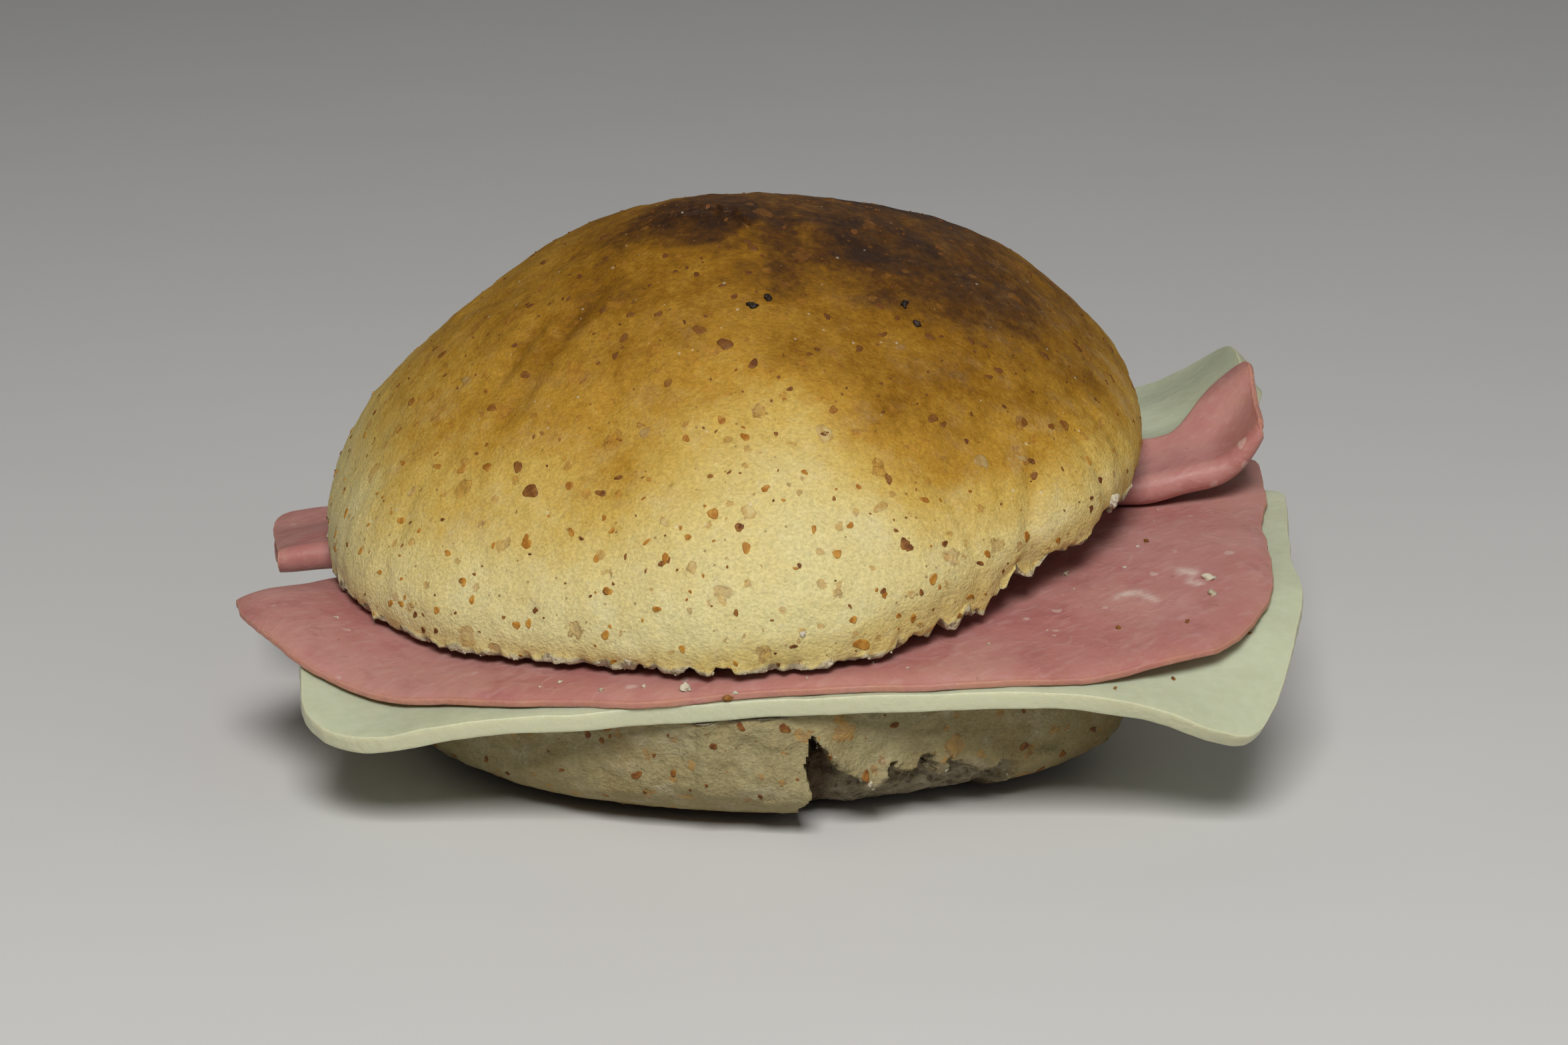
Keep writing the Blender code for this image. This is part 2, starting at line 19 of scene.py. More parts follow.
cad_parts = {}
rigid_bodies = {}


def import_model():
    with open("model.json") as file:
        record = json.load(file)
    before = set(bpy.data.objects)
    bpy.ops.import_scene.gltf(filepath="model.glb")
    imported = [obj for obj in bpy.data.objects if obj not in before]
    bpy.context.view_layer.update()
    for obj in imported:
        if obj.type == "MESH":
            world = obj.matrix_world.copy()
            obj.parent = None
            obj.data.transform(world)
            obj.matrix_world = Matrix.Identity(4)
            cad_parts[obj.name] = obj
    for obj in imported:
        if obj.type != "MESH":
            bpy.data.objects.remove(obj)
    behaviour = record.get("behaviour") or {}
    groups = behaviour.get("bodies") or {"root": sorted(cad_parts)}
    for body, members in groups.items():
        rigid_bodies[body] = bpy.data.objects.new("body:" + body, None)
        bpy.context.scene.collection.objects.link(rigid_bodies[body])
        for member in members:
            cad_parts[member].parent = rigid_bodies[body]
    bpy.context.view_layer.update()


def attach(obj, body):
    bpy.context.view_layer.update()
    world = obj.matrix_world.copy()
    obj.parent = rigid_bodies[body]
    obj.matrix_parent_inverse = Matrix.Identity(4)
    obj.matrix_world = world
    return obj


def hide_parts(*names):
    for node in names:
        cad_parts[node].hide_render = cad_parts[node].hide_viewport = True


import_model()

MM = 0.001
SEED = 41
SHIFT = np.array([1.98, -15.89, 0.0])
LOG = logging.getLogger("filled_roll")

Array = np.ndarray
Ramp = tuple[float, float]
Colour = tuple[float, float, float]
Thing = bpy.types.Object

# How far the points of a slice's grid are drawn towards its edges, as the angle of a sine
EDGE_DRAW = 1.35
# First seed of the strewn bits; each kind takes the next
STREW_SEED = 11


class Slot(Enum):
    """Material slots of the record."""

    CROWN = "crown_crust"
    HEEL = "heel_crust"
    CHEESE = "cheese"
    HAM = "ham"


# Shape rules


def to_frame(points: Array) -> Array:
    """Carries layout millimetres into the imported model's metres."""
    return (points + SHIFT) * MM


def smooth(t: Array) -> Array:
    """Eased step from 0 to 1."""
    t = np.clip(t, 0.0, 1.0)
    return t * t * (3.0 - 2.0 * t)


def rise(value: Array, ramp: Ramp) -> Array:
    """Eased step from 0 to 1 along a ramp."""
    return smooth((value - ramp[0]) / ramp[1])


def bell(value: Array, centre: float, spread: float) -> Array:
    """Bell curve of height 1."""
    return np.exp(-(((value - centre) / spread) ** 2))


def ripple(points: Array, wavelength: float, seed: int, waves: int = 10) -> Array:
    """Gentle seeded waviness from a few plane waves of random direction.

    Args:
        points: Rows of positions, in any number of dimensions.
        wavelength: Mean distance between crests.
        seed: Seed of the random draw.
        waves: Number of plane waves.

    Returns:
        One value per row, in about -1..1.
    """
    rng = np.random.default_rng(seed)
    axes = rng.normal(size=(waves, points.shape[-1]))
    axes /= np.linalg.norm(axes, axis=1, keepdims=True)
    pitch = rng.uniform(0.7, 1.4, waves) * 2.0 * np.pi / wavelength
    phase = rng.uniform(0.0, 2.0 * np.pi, waves)
    return np.cos(points @ (axes * pitch[:, None]).T + phase).sum(axis=-1) / math.sqrt(waves)


def hashed(cells: Array, seed: int) -> Array:
    """Repeatable random value in 0..1 for each row of whole-number cell coordinates.

    Args:
        cells: Whole-number coordinates, three in the last axis.
        seed: Seed of the values.

    Returns:
        One value for each cell.
    """
    mixed = cells.astype(np.int64) @ np.array([73856093, 19349663, 83492791]) + seed * 2654435
    mixed = (mixed ^ (mixed >> 13)) * 1274126177 & 0x7FFFFFFF
    mixed = (mixed ^ (mixed >> 15)) * 2246822519 & 0x7FFFFFFF
    return (mixed ^ (mixed >> 11)) % 65536 / 65535.0


def lumps(points: Array, size: float, seed: int, octaves: int = 1) -> Array:
    """Value noise for relief.

    Args:
        points: Positions, with three numbers in the last axis.
        size: Size of the largest lumps.
        seed: Seed of the random lattice.
        octaves: How many times finer lumps of half the size and height are added.

    Returns:
        One value per position, in about -1..1.
    """
    total = np.zeros(points.shape[:-1])
    for octave in range(octaves):
        scaled = points / (size * 0.5**octave) + 17.3 * octave
        cell = np.floor(scaled)
        part = smooth(scaled - cell)
        value = np.zeros(points.shape[:-1])
        for corner in np.ndindex(2, 2, 2):
            weight = np.prod(np.where(np.array(corner) == 1, part, 1.0 - part), axis=-1)
            value += weight * hashed(cell + np.array(corner), seed + octave)
        total += (2.0 * value - 1.0) * 0.5**octave
    return total


def pits(points: Array, size: float, seed: int) -> Array:
    """Distance to the nearest of many scattered points, as a share of their spacing: 0 deep in a pore.

    Args:
        points: Positions, with three numbers in the last axis.
        size: Mean spacing of the pores.
        seed: Seed of their places.

    Returns:
        One value for each position.
    """
    scaled = points / size
    cell = np.floor(scaled)
    nearest = np.full(points.shape[:-1], 9.0)
    for step in np.ndindex(3, 3, 3):
        there = cell + np.array(step) - 1.0
        centre = there + np.stack([hashed(there, seed + k) for k in range(3)], axis=-1)
        nearest = np.minimum(nearest, np.linalg.norm(scaled - centre, axis=-1))
    return nearest


def laid_out(x: Array, y: Array) -> Array:
    """Positions in the plane, with a third number of 0."""
    return np.stack([x, y, 0.0 * x], axis=-1)


def off_line(x: Array, y: Array, start: tuple[float, float], end: tuple[float, float]) -> tuple[Array, Array]:
    """How far places lie from the nearest point of a straight line.

    Args:
        x: Places across.
        y: Places towards the back.
        start: One end of the line.
        end: Its other end.

    Returns:
        The two parts of that distance.
    """
    run = np.array(end) - np.array(start)
    share = np.clip(((x - start[0]) * run[0] + (y - start[1]) * run[1]) / (run @ run), 0.0, 1.0)
    return x - start[0] - share * run[0], y - start[1] - share * run[1]


@dataclass(frozen=True)
class Slice:
    """Plan of a slice: centre, half length, half depth, and how square its corners are."""

    x: float
    y: float
    half_x: float
    half_y: float
    left_power: float
    right_power: float
    back_right_power: float

    def power(self, along: Array, across: Array) -> Array:
        """Corner power over the slice, eased from its left end to its right end and from front to back."""
        right = self.right_power + (self.back_right_power - self.right_power) * smooth(across + 0.5)
        return self.left_power + (right - self.left_power) * smooth(along + 0.5)


@dataclass(frozen=True)
class Corner:
    """A front corner of the lower cheese that hangs down."""

    bend: float
    start_y: float
    start_x: float
    reach: float
    limit: float
    power: float

    def hang(self, outward: Array, y: Array) -> Array:
        """How far the corner hangs down at each point."""
        along = np.clip((outward - self.start_x) / self.reach, 0.0, self.limit) ** self.power
        return self.bend * np.maximum(-y - self.start_y, 0.0) ** 2 * along


@dataclass(frozen=True)
class CutFace:
    """Cut face of the lower half, carried on past its rim as the lie of the slices."""

    front_z: float = 15.2
    front_y: float = -36.5
    rise_back: float = 0.100
    rise_right: float = 0.0725
    bend_right: float = 0.0125
    softness: float = 8.0
    wave: float = 0.25
    wavelength: float = 38.0
    dip_x: float = -14.0
    dip_y: float = 21.0
    dip_depth: float = 2.6
    dip_radius: float = 24.0
    hump_start_y: float = 25.0
    hump_bend: float = 0.0025
    hump_edge: Ramp = (22.0, 24.0)
    droop: float = 6.4
    droop_y: Ramp = (4.0, 26.0)
    droop_left: Ramp = (28.0, 30.0)

    def height(self, x: Array, y: Array) -> Array:
        """Height of the cut face.

        Args:
            x: Places across.
            y: Places towards the back.

        Returns:
            One height for each place.
        """
        hump = self.hump_bend * np.maximum(y - self.hump_start_y, 0.0) ** 2
        hump = hump * (1.0 - rise(np.abs(x), self.hump_edge))
        droop = self.droop * rise(y, self.droop_y) * rise(-x, self.droop_left)
        wave = self.wave * ripple(np.stack([x, y], axis=-1), self.wavelength, SEED)
        plane = self.front_z + self.rise_back * (y - self.front_y) + self.rise_right * x
        bend = self.bend_right * (np.sqrt(x**2 + self.softness**2) - self.softness)
        away = ((x - self.dip_x) ** 2 + (y - self.dip_y) ** 2) / self.dip_radius**2
        return plane + bend + hump - self.dip_depth * np.exp(-away) - droop + wave


@dataclass(frozen=True)
class Filling:
    """How the slices lie on the cut face, on each other and under the crown."""

    cut: CutFace = CutFace()
    gap: float = 0.4
    cheese_t: float = 2.2
    ham_t: float = 1.4
    cheese_lower: Slice = Slice(2.0, -8.5, 59.4, 28.0, 8.0, 24.0, 24.0)
    ham_lower: Slice = Slice(-4.3, 2.0, 62.7, 38.4, 2.4, 4.0, 9.0)
    cheese_upper: Slice = Slice(5.4, 42.0, 55.4, 19.5, 6.0, 7.0, 7.0)
    ham_upper: Slice = Slice(-2.3, 13.5, 61.5, 40.0, 16.0, 14.0, 14.0)
    margin: Ramp = (4.0, 15.0)
    flare: float = 0.085
    flare_start_y: float = -5.0
    flare_right: Ramp = (30.0, 25.0)
    right_corner: Corner = Corner(0.0162, 12.0, 5.0, 49.0, 1.3, 2.6)
    left_corner: Corner = Corner(0.0055, 14.0, 5.0, 46.0, 1.2, 4.0)
    corner_draw: float = 0.58
    trim_point: tuple[float, float] = (-56.6, 10.3)
    trim_normal: tuple[float, float] = (-0.874, 0.485)
    tip_lift: float = 3.4
    tip_left: Ramp = (44.0, 22.0)
    tip_front: Ramp = (-12.0, 20.0)
    ham_hang: float = 0.35
    ham_hang_right: Ramp = (32.0, 14.0)
    skew: float = 0.09
    skew_x: float = 50.0
    curl_rise: float = 7.0
    curl_start_x: float = 46.0
    curl_length: float = 14.6
    curl_limit: float = 1.1
    turn_up: float = 8.0
    turn_up_start_x: float = 50.0
    turn_up_length: float = 10.0
    turn_up_power: float = 2.5
    turn_up_softness: float = 2.5
    turn_up_soft_x: Ramp = (44.0, 8.0)
    free_edge_lift: float = 1.0
    free_edge_x: Ramp = (46.0, 9.0)
    free_edge_start_y: float = 12.0
    free_edge_length: float = 16.0
    free_edge_limit: float = 1.2
    step_up_x: Ramp = (30.0, 12.0)
    step_up_y: Ramp = (15.5, 8.0)
    fold_front_y: float = 15.5
    fold_forward: float = 5.0
    fold_forward_x: Ramp = (-10.0, 50.0)
    fold_depth_left: float = 28.0
    fold_depth_gain: float = 9.0
    fold_depth_gain_x: Ramp = (-50.0, 40.0)
    fold_depth_loss: float = 28.0
    fold_depth_loss_x: Ramp = (4.0, 38.0)
    fold_depth_tip: float = 8.0
    fold_depth_tip_x: Ramp = (48.5, 9.5)
    fold_gap: float = 0.8
    room_front: Ramp = (-10.0, 5.0)
    room_back: Ramp = (-12.0, 6.0)
    room_end: Ramp = (0.98, 0.08)

    def droop(self, x: Array, y: Array) -> Array:
        """How far the front corners of the lower cheese hang below the lie of the slices."""
        return self.right_corner.hang(x, y) + self.left_corner.hang(-x, y)

    def heel_top(self, x: Array, y: Array) -> Array:
        """Cut face of the lower half, which gives way a little under the drooping corners."""
        return self.cut.height(x, y) - self.droop(x, y)

    def cover(self, size: Slice, x: Array, y: Array) -> Array:
        """1 over a slice, easing to 0 a little way outside its edge.

        Args:
            size: The slice's plan.
            x: Places across.
            y: Places towards the back.

        Returns:
            One value for each place.
        """
        along, across = (x - size.x) / size.half_x, (y - size.y) / size.half_y
        power = size.power(along, across)
        level = (np.abs(along) ** power + np.abs(across) ** power) ** (1.0 / power)
        return 1.0 - rise((level - 1.0) * min(size.half_x, size.half_y), self.margin)

    def tip(self, x: Array, y: Array) -> Array:
        """Upward curl of the left end of the lower slices."""
        return self.tip_lift * rise(-x, self.tip_left) * rise(-y, self.tip_front)

    def curl(self, x: Array) -> Array:
        """Upward curl of the right end of the upper cheese."""
        along = np.clip((x - self.curl_start_x) / self.curl_length, 0.0, self.curl_limit)
        return self.curl_rise * along**2

    def past_trim(self, x: Array, y: Array) -> Array:
        """Distance beyond the straight back-left edge of the lower ham."""
        return (x - self.trim_point[0]) * self.trim_normal[0] + (y - self.trim_point[1]) * self.trim_normal[1]

    def flared(self, x: Array, y: Array) -> Array:
        """Moves the right end of a lower slice out, more towards the back."""
        return x + self.flare * np.maximum(y - self.flare_start_y, 0.0) * rise(x, self.flare_right)

    def skewed(self, x: Array) -> Array:
        """How far back the upper cheese lies along its length, being turned a little."""
        return self.skew * (self.skew_x - x)

    def on_cheese_lower(self, x: Array, y: Array) -> Array:
        """Height that the lower cheese adds under what lies on it."""
        return self.cover(self.cheese_lower, x, y) * (self.cheese_t + self.gap)

    def on_ham_lower(self, x: Array, y: Array) -> Array:
        """Height that the lower ham adds under what lies on it."""
        trimmed = 1.0 - rise(self.past_trim(x, y), self.margin)
        return self.cover(self.ham_lower, x, y) * trimmed * (self.ham_t + self.gap)

    def on_cheese_upper(self, x: Array, y: Array) -> Array:
        """Height that the upper cheese adds; at its right end the ham steps up onto it late."""
        covered = self.cover(self.cheese_upper, x, y - self.skewed(x))
        return covered * (self.cheese_t + self.gap + self.curl(x)) * (
            1.0 - rise(x, self.step_up_x) * (1.0 - rise(y, self.step_up_y)))

    def cheese_lower_base(self, x: Array, y: Array) -> Array:
        """Underside of the lower cheese."""
        return self.cut.height(x, y) + self.gap - self.droop(x, y) + self.tip(x, y)

    def ham_lower_base(self, x: Array, y: Array) -> Array:
        """Underside of the lower ham, which bridges the drooping cheese corners.

        Args:
            x: Places across.
            y: Places towards the back.

        Returns:
            One height for each place.
        """
        bridged = 1.0 - (1.0 - self.ham_hang) * rise(x, self.ham_hang_right)
        share = np.where(x > 0.0, bridged, self.ham_hang)
        lie = self.cut.height(x, y) + self.gap + self.on_cheese_lower(x, y)
        return lie - share * self.droop(x, y) + self.tip(x, y)

    def cheese_upper_base(self, x: Array, y: Array) -> Array:
        """Underside of the upper cheese."""
        lie = self.cut.height(x, y) + self.gap + self.on_cheese_lower(x, y)
        return lie + self.on_ham_lower(x, y) + self.curl(x)

    def ham_upper_base(self, x: Array, y: Array) -> Array:
        """Underside of the folded ham.

        Args:
            x: Places across.
            y: Places towards the back.

        Returns:
            One height for each place.
        """
        along = np.clip((x - self.turn_up_start_x) / self.turn_up_length, 0.0, self.curl_limit)
        turned_up = self.turn_up * along**self.turn_up_power
        back = np.clip((y - self.free_edge_start_y) / self.free_edge_length, 0.0, self.free_edge_limit)
        free_edge = self.free_edge_lift * rise(x, self.free_edge_x) * back
        lower = self.cut.height(x, y) + self.gap + self.on_cheese_lower(x, y) + self.on_ham_lower(x, y)
        lie = self.on_cheese_upper(x, y)
        blend = np.hypot(lie - turned_up, self.turn_up_softness * rise(x, self.turn_up_soft_x))
        return lower + (lie + turned_up + blend) / 2.0 + free_edge

    def fold_line(self, x: Array) -> Array:
        """Front of the folded ham along its length."""
        return self.fold_front_y - self.fold_forward * rise(x, self.fold_forward_x)

    def fold_depth(self, x: Array) -> Array:
        """Depth of each leaf of the folded ham, from the fold to its free edge."""
        left = self.fold_depth_left + self.fold_depth_gain * rise(x, self.fold_depth_gain_x)
        return left - self.fold_depth_loss * rise(x, self.fold_depth_loss_x) + (
            self.fold_depth_tip * rise(x, self.fold_depth_tip_x))

    def top(self, x: Array, y: Array) -> Array:
        """Top of whatever lies under the crown.

        Args:
            x: Places across.
            y: Places towards the back.

        Returns:
            One height for each place.
        """
        inside = rise(y - self.fold_line(x), self.room_front)
        inside = inside * rise(self.fold_line(x) + self.fold_depth(x) - y, self.room_back)
        ends = np.abs(x - self.ham_upper.x) / self.ham_upper.half_x
        inside = inside * (1.0 - rise(ends, self.room_end))
        doubled = self.ham_upper_base(x, y) + inside * (2.0 * self.ham_t + self.fold_gap)
        return np.maximum(doubled, self.ham_lower_base(x, y) + self.ham_t)


@dataclass(frozen=True)
class Lens:
    """The front view: where the eye is, and how layout points and pixels of the picture go together."""

    aim: tuple[float, float, float] = (0.0, 0.0, 29.0)
    elevation: float = math.radians(15.0)
    distance: float = 500.0
    width: float = 2352.0
    height: float = 1568.0
    focal: float = 6145.0

    def axes(self) -> tuple[Array, Array, Array]:
        """Directions to the right, up and forward as seen by the eye."""
        c, s = math.cos(self.elevation), math.sin(self.elevation)
        return np.array([1.0, 0.0, 0.0]), np.array([0.0, s, c]), np.array([0.0, c, -s])

    def eye(self) -> Array:
        """Layout position of the eye."""
        return np.array(self.aim) - self.axes()[2] * self.distance

    def ray(self, across: float, down: float) -> Array:
        """Direction from the eye through a pixel."""
        right, up, forward = self.axes()
        return (right * (across - self.width / 2.0) + up * (self.height / 2.0 - down)) / self.focal + forward

    def pixels(self, points: Array) -> tuple[Array, Array]:
        """Pixels at which layout points are seen, across and down.

        Args:
            points: Layout positions.

        Returns:
            The pixels across, and those down.
        """
        right, up, forward = self.axes()
        away = points - self.eye()
        depth = away @ forward
        across = self.width / 2.0 + self.focal * (away @ right) / depth
        return across, self.height / 2.0 - self.focal * (away @ up) / depth


# Mesh making


def turns_round(columns: int, density: float, towards: float) -> Array:
    """Azimuths of a ring's columns, drawn together round one direction.

    Args:
        columns: Number of columns.
        density: Spacing at that direction, as a share of an even spacing.
        towards: The direction.

    Returns:
        The azimuths, rising, within -pi..pi.
    """
    turn = np.arange(columns) / columns - 0.5
    azimuth = towards + 2.0 * math.pi * (density * turn + (1.0 - density) * 4.0 * turn**3)
    return (azimuth + math.pi) % (2.0 * math.pi) - math.pi


def grid_normals(points: Array, wrap: bool) -> Array:
    """Unit normals of a grid of points.

    Args:
        points: Positions by row and column.
        wrap: Whether the columns close round.

    Returns:
        The normals, to the left of the columns' direction seen along the rows.
    """
    if wrap:
        across = np.roll(points, -1, axis=1) - np.roll(points, 1, axis=1)
    else:
        across = np.gradient(points, axis=1)
    along = np.gradient(points, axis=0)
    normal = np.cross(across, along)
    return normal / np.maximum(np.linalg.norm(normal, axis=-1, keepdims=True), 1e-9)


def grid_quads(rows: int, columns: int, wrap: bool, start: int = 0) -> Array:
    """Corner numbers of the faces of a grid whose points are numbered row by row.

    Args:
        rows: Number of rows.
        columns: Number of columns.
        wrap: Whether the columns close round.
        start: Number of the grid's first point.

    Returns:
        Four corner numbers for each face.
    """
    span = columns if wrap else columns - 1
    row, column = np.meshgrid(np.arange(rows - 1), np.arange(span), indexing="ij")
    here = row * columns + column
    beside = row * columns + (column + 1) % columns
    quads = np.stack([here, beside, beside + columns, here + columns], axis=-1)
    return quads.reshape(-1, 4) + start


def set_mark(mesh: bpy.types.Mesh, name: str, values: Array) -> None:
    """Keeps a value for each point of a mesh as an attribute."""
    kept = mesh.attributes.new(name, "FLOAT", "POINT")
    kept.data.foreach_set("value", np.ascontiguousarray(values, dtype=np.float32))


def new_mesh(name: str, points: Array, faces: list[Array], marks: dict[str, Array],
             uneven: list[list[int]] | None = None) -> Thing:
    """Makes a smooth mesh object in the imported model's place.

    Args:
        name: Name of the object.
        points: Layout positions, one row each.
        faces: Arrays of corner numbers, one row for each face.
        marks: Values for each point, kept as attributes for the finish.
        uneven: Further faces, whose numbers of corners may differ.

    Returns:
        The new object, which stands at the origin.
    """
    mesh = bpy.data.meshes.new(name)
    corners = [row for block in faces for row in block.tolist()] + (uneven or [])
    mesh.from_pydata(to_frame(points).tolist(), [], corners)
    mesh.shade_smooth()
    for mark, values in marks.items():
        set_mark(mesh, mark, values)
    thing = bpy.data.objects.new(name, mesh)
    bpy.context.scene.collection.objects.link(thing)
    return thing


def turned_mesh(name: str, rings: Array, low: Array, high: Array,
                marks: dict[str, Array]) -> Thing:
    """Closes a stack of rings at two poles.

    Args:
        name: Name of the object.
        rings: Positions by ring, from the bottom up, and by column, anticlockwise from above.
        low: The bottom pole.
        high: The top pole.
        marks: Values by ring and column; each pole takes the mean of its ring.

    Returns:
        The closed mesh object.
    """
    rows, columns = rings.shape[:2]
    points = np.vstack([low[None], rings.reshape(-1, 3), high[None]])
    column = np.arange(columns)
    after = (column + 1) % columns
    last = 1 + (rows - 1) * columns
    floor = np.stack([np.zeros(columns, int), 1 + after, 1 + column], axis=1)
    roof = np.stack([last + column, last + after, np.full(columns, rows * columns + 1)], axis=1)
    flat = {key: np.concatenate([[m[0].mean()], m.ravel(), [m[-1].mean()]]) for key, m in marks.items()}
    return new_mesh(name, points, [floor, grid_quads(rows, columns, True, 1), roof], flat)


@dataclass(frozen=True)
class Sheet:
    """A slice as a grid of middle points, their normals, its thickness, and how far its cut edge swells."""

    middle: Array
    normals: Array
    thickness: Array
    swell: float
    profile: tuple[tuple[float, float], ...] = (
        (0.93, 0.55), (0.70, 0.95), (0.25, 1.05), (-0.25, 1.05), (-0.70, 0.95), (-0.93, 0.55))

    def perimeter(self) -> Array:
        """Numbers of the grid's edge points, anticlockwise."""
        number = np.arange(self.middle[..., 0].size).reshape(self.middle.shape[:2])
        return np.concatenate([number[0, :-1], number[:-1, -1], number[-1, :0:-1], number[:0:-1, 0]])

    def mesh(self, name: str, marks: dict[str, Array]) -> Thing:
        """Builds the closed slice with a crisp, barely rounded cut edge.

        Args:
            name: Name of the object.
            marks: Values by row and column; "rim" is added, 1 on the cut edge.

        Returns:
            The closed mesh object.
        """
        rows, columns = self.middle.shape[:2]
        normal = self.normals.reshape(-1, 3)
        middle, half = self.middle.reshape(-1, 3), self.thickness.reshape(-1, 1) / 2.0
        loop = self.perimeter()
        edge, up = middle[loop], normal[loop]
        along = np.roll(edge, -1, axis=0) - np.roll(edge, 1, axis=0)
        out = np.cross(along, up)
        out /= np.maximum(np.linalg.norm(out, axis=1, keepdims=True), 1e-9)
        grain = 1.0 + 0.5 * lumps(edge, 0.9, SEED + 60, 2)[:, None]
        bands = [edge + half[loop] * up * high + out * self.swell * wide * grain
                 for high, wide in self.profile]
        points = np.vstack([middle + half * normal, middle - half * normal, *bands])
        top = grid_quads(rows, columns, False)
        below = grid_quads(rows, columns, False, rows * columns)[:, ::-1]
        count = len(loop)
        starts = [loop + 0, *(2 * rows * columns + count * k + np.arange(count) for k in range(len(bands)))]
        starts.append(loop + rows * columns)
        walls = [np.stack([a, b, np.roll(b, -1), np.roll(a, -1)], axis=1) for a, b in zip(starts, starts[1:])]
        flat = {key: np.concatenate([m.ravel(), m.ravel(), *([m.ravel()[loop]] * len(bands))])
                for key, m in marks.items()}
        flat["rim"] = np.concatenate([np.zeros(2 * rows * columns), np.ones(count * len(bands))])
        flat["rim"][loop] = flat["rim"][loop + rows * columns] = 1.0
        return new_mesh(name, points, [top, below, *walls], flat)


# Finishes


def add_node(tree: bpy.types.NodeTree, kind: str, settings: dict, values: dict) -> bpy.types.Node:
    """Adds a node to a shader or a Geometry Nodes tree.

    Args:
        tree: The tree.
        kind: The node's type.
        settings: Its own properties, set first.
        values: Its sockets, by name or number, as plain values or as sockets to link.

    Returns:
        The new node.
    """
    made = tree.nodes.new(kind)
    for key, value in settings.items():
        setattr(made, key, value)
    for key, value in values.items():
        if isinstance(value, bpy.types.NodeSocket):
            tree.links.new(value, made.inputs[key])
        else:
            made.inputs[key].default_value = value
    return made


class Wire:
    """A number socket of a shader that takes part in Python expressions."""

    def __init__(self, recipe: "Recipe", socket: bpy.types.NodeSocket) -> None:
        """Keeps the socket with the recipe that it belongs to."""
        self.recipe = recipe
        self.socket = socket

    def join(self, operation: str, first: "Wire | float", second: "Wire | float") -> "Wire":
        """Adds one Math node on two values."""
        return self.recipe.node("ShaderNodeMath", {"operation": operation}, {0: first, 1: second})

    def __add__(self, other: "Wire | float") -> "Wire":
        """Sum."""
        return self.join("ADD", self, other)

    __radd__ = __add__

    def __sub__(self, other: "Wire | float") -> "Wire":
        """Difference."""
        return self.join("SUBTRACT", self, other)

    def __rsub__(self, other: float) -> "Wire":
        """Difference from a number."""
        return self.join("SUBTRACT", other, self)

    def __mul__(self, other: "Wire | float") -> "Wire":
        """Product."""
        return self.join("MULTIPLY", self, other)

    __rmul__ = __mul__

    def __truediv__(self, other: "Wire | float") -> "Wire":
        """Quotient."""
        return self.join("DIVIDE", self, other)

    def __pow__(self, power: float) -> "Wire":
        """Power."""
        return self.join("POWER", self, power)

    def ramp(self, low: float, high: float) -> "Wire":
        """Eased step from 0 at low to 1 at high; high may be the smaller."""
        ease = {"interpolation_type": "SMOOTHSTEP"}
        return self.recipe.node("ShaderNodeMapRange", ease, {0: self, 1: low, 2: high})


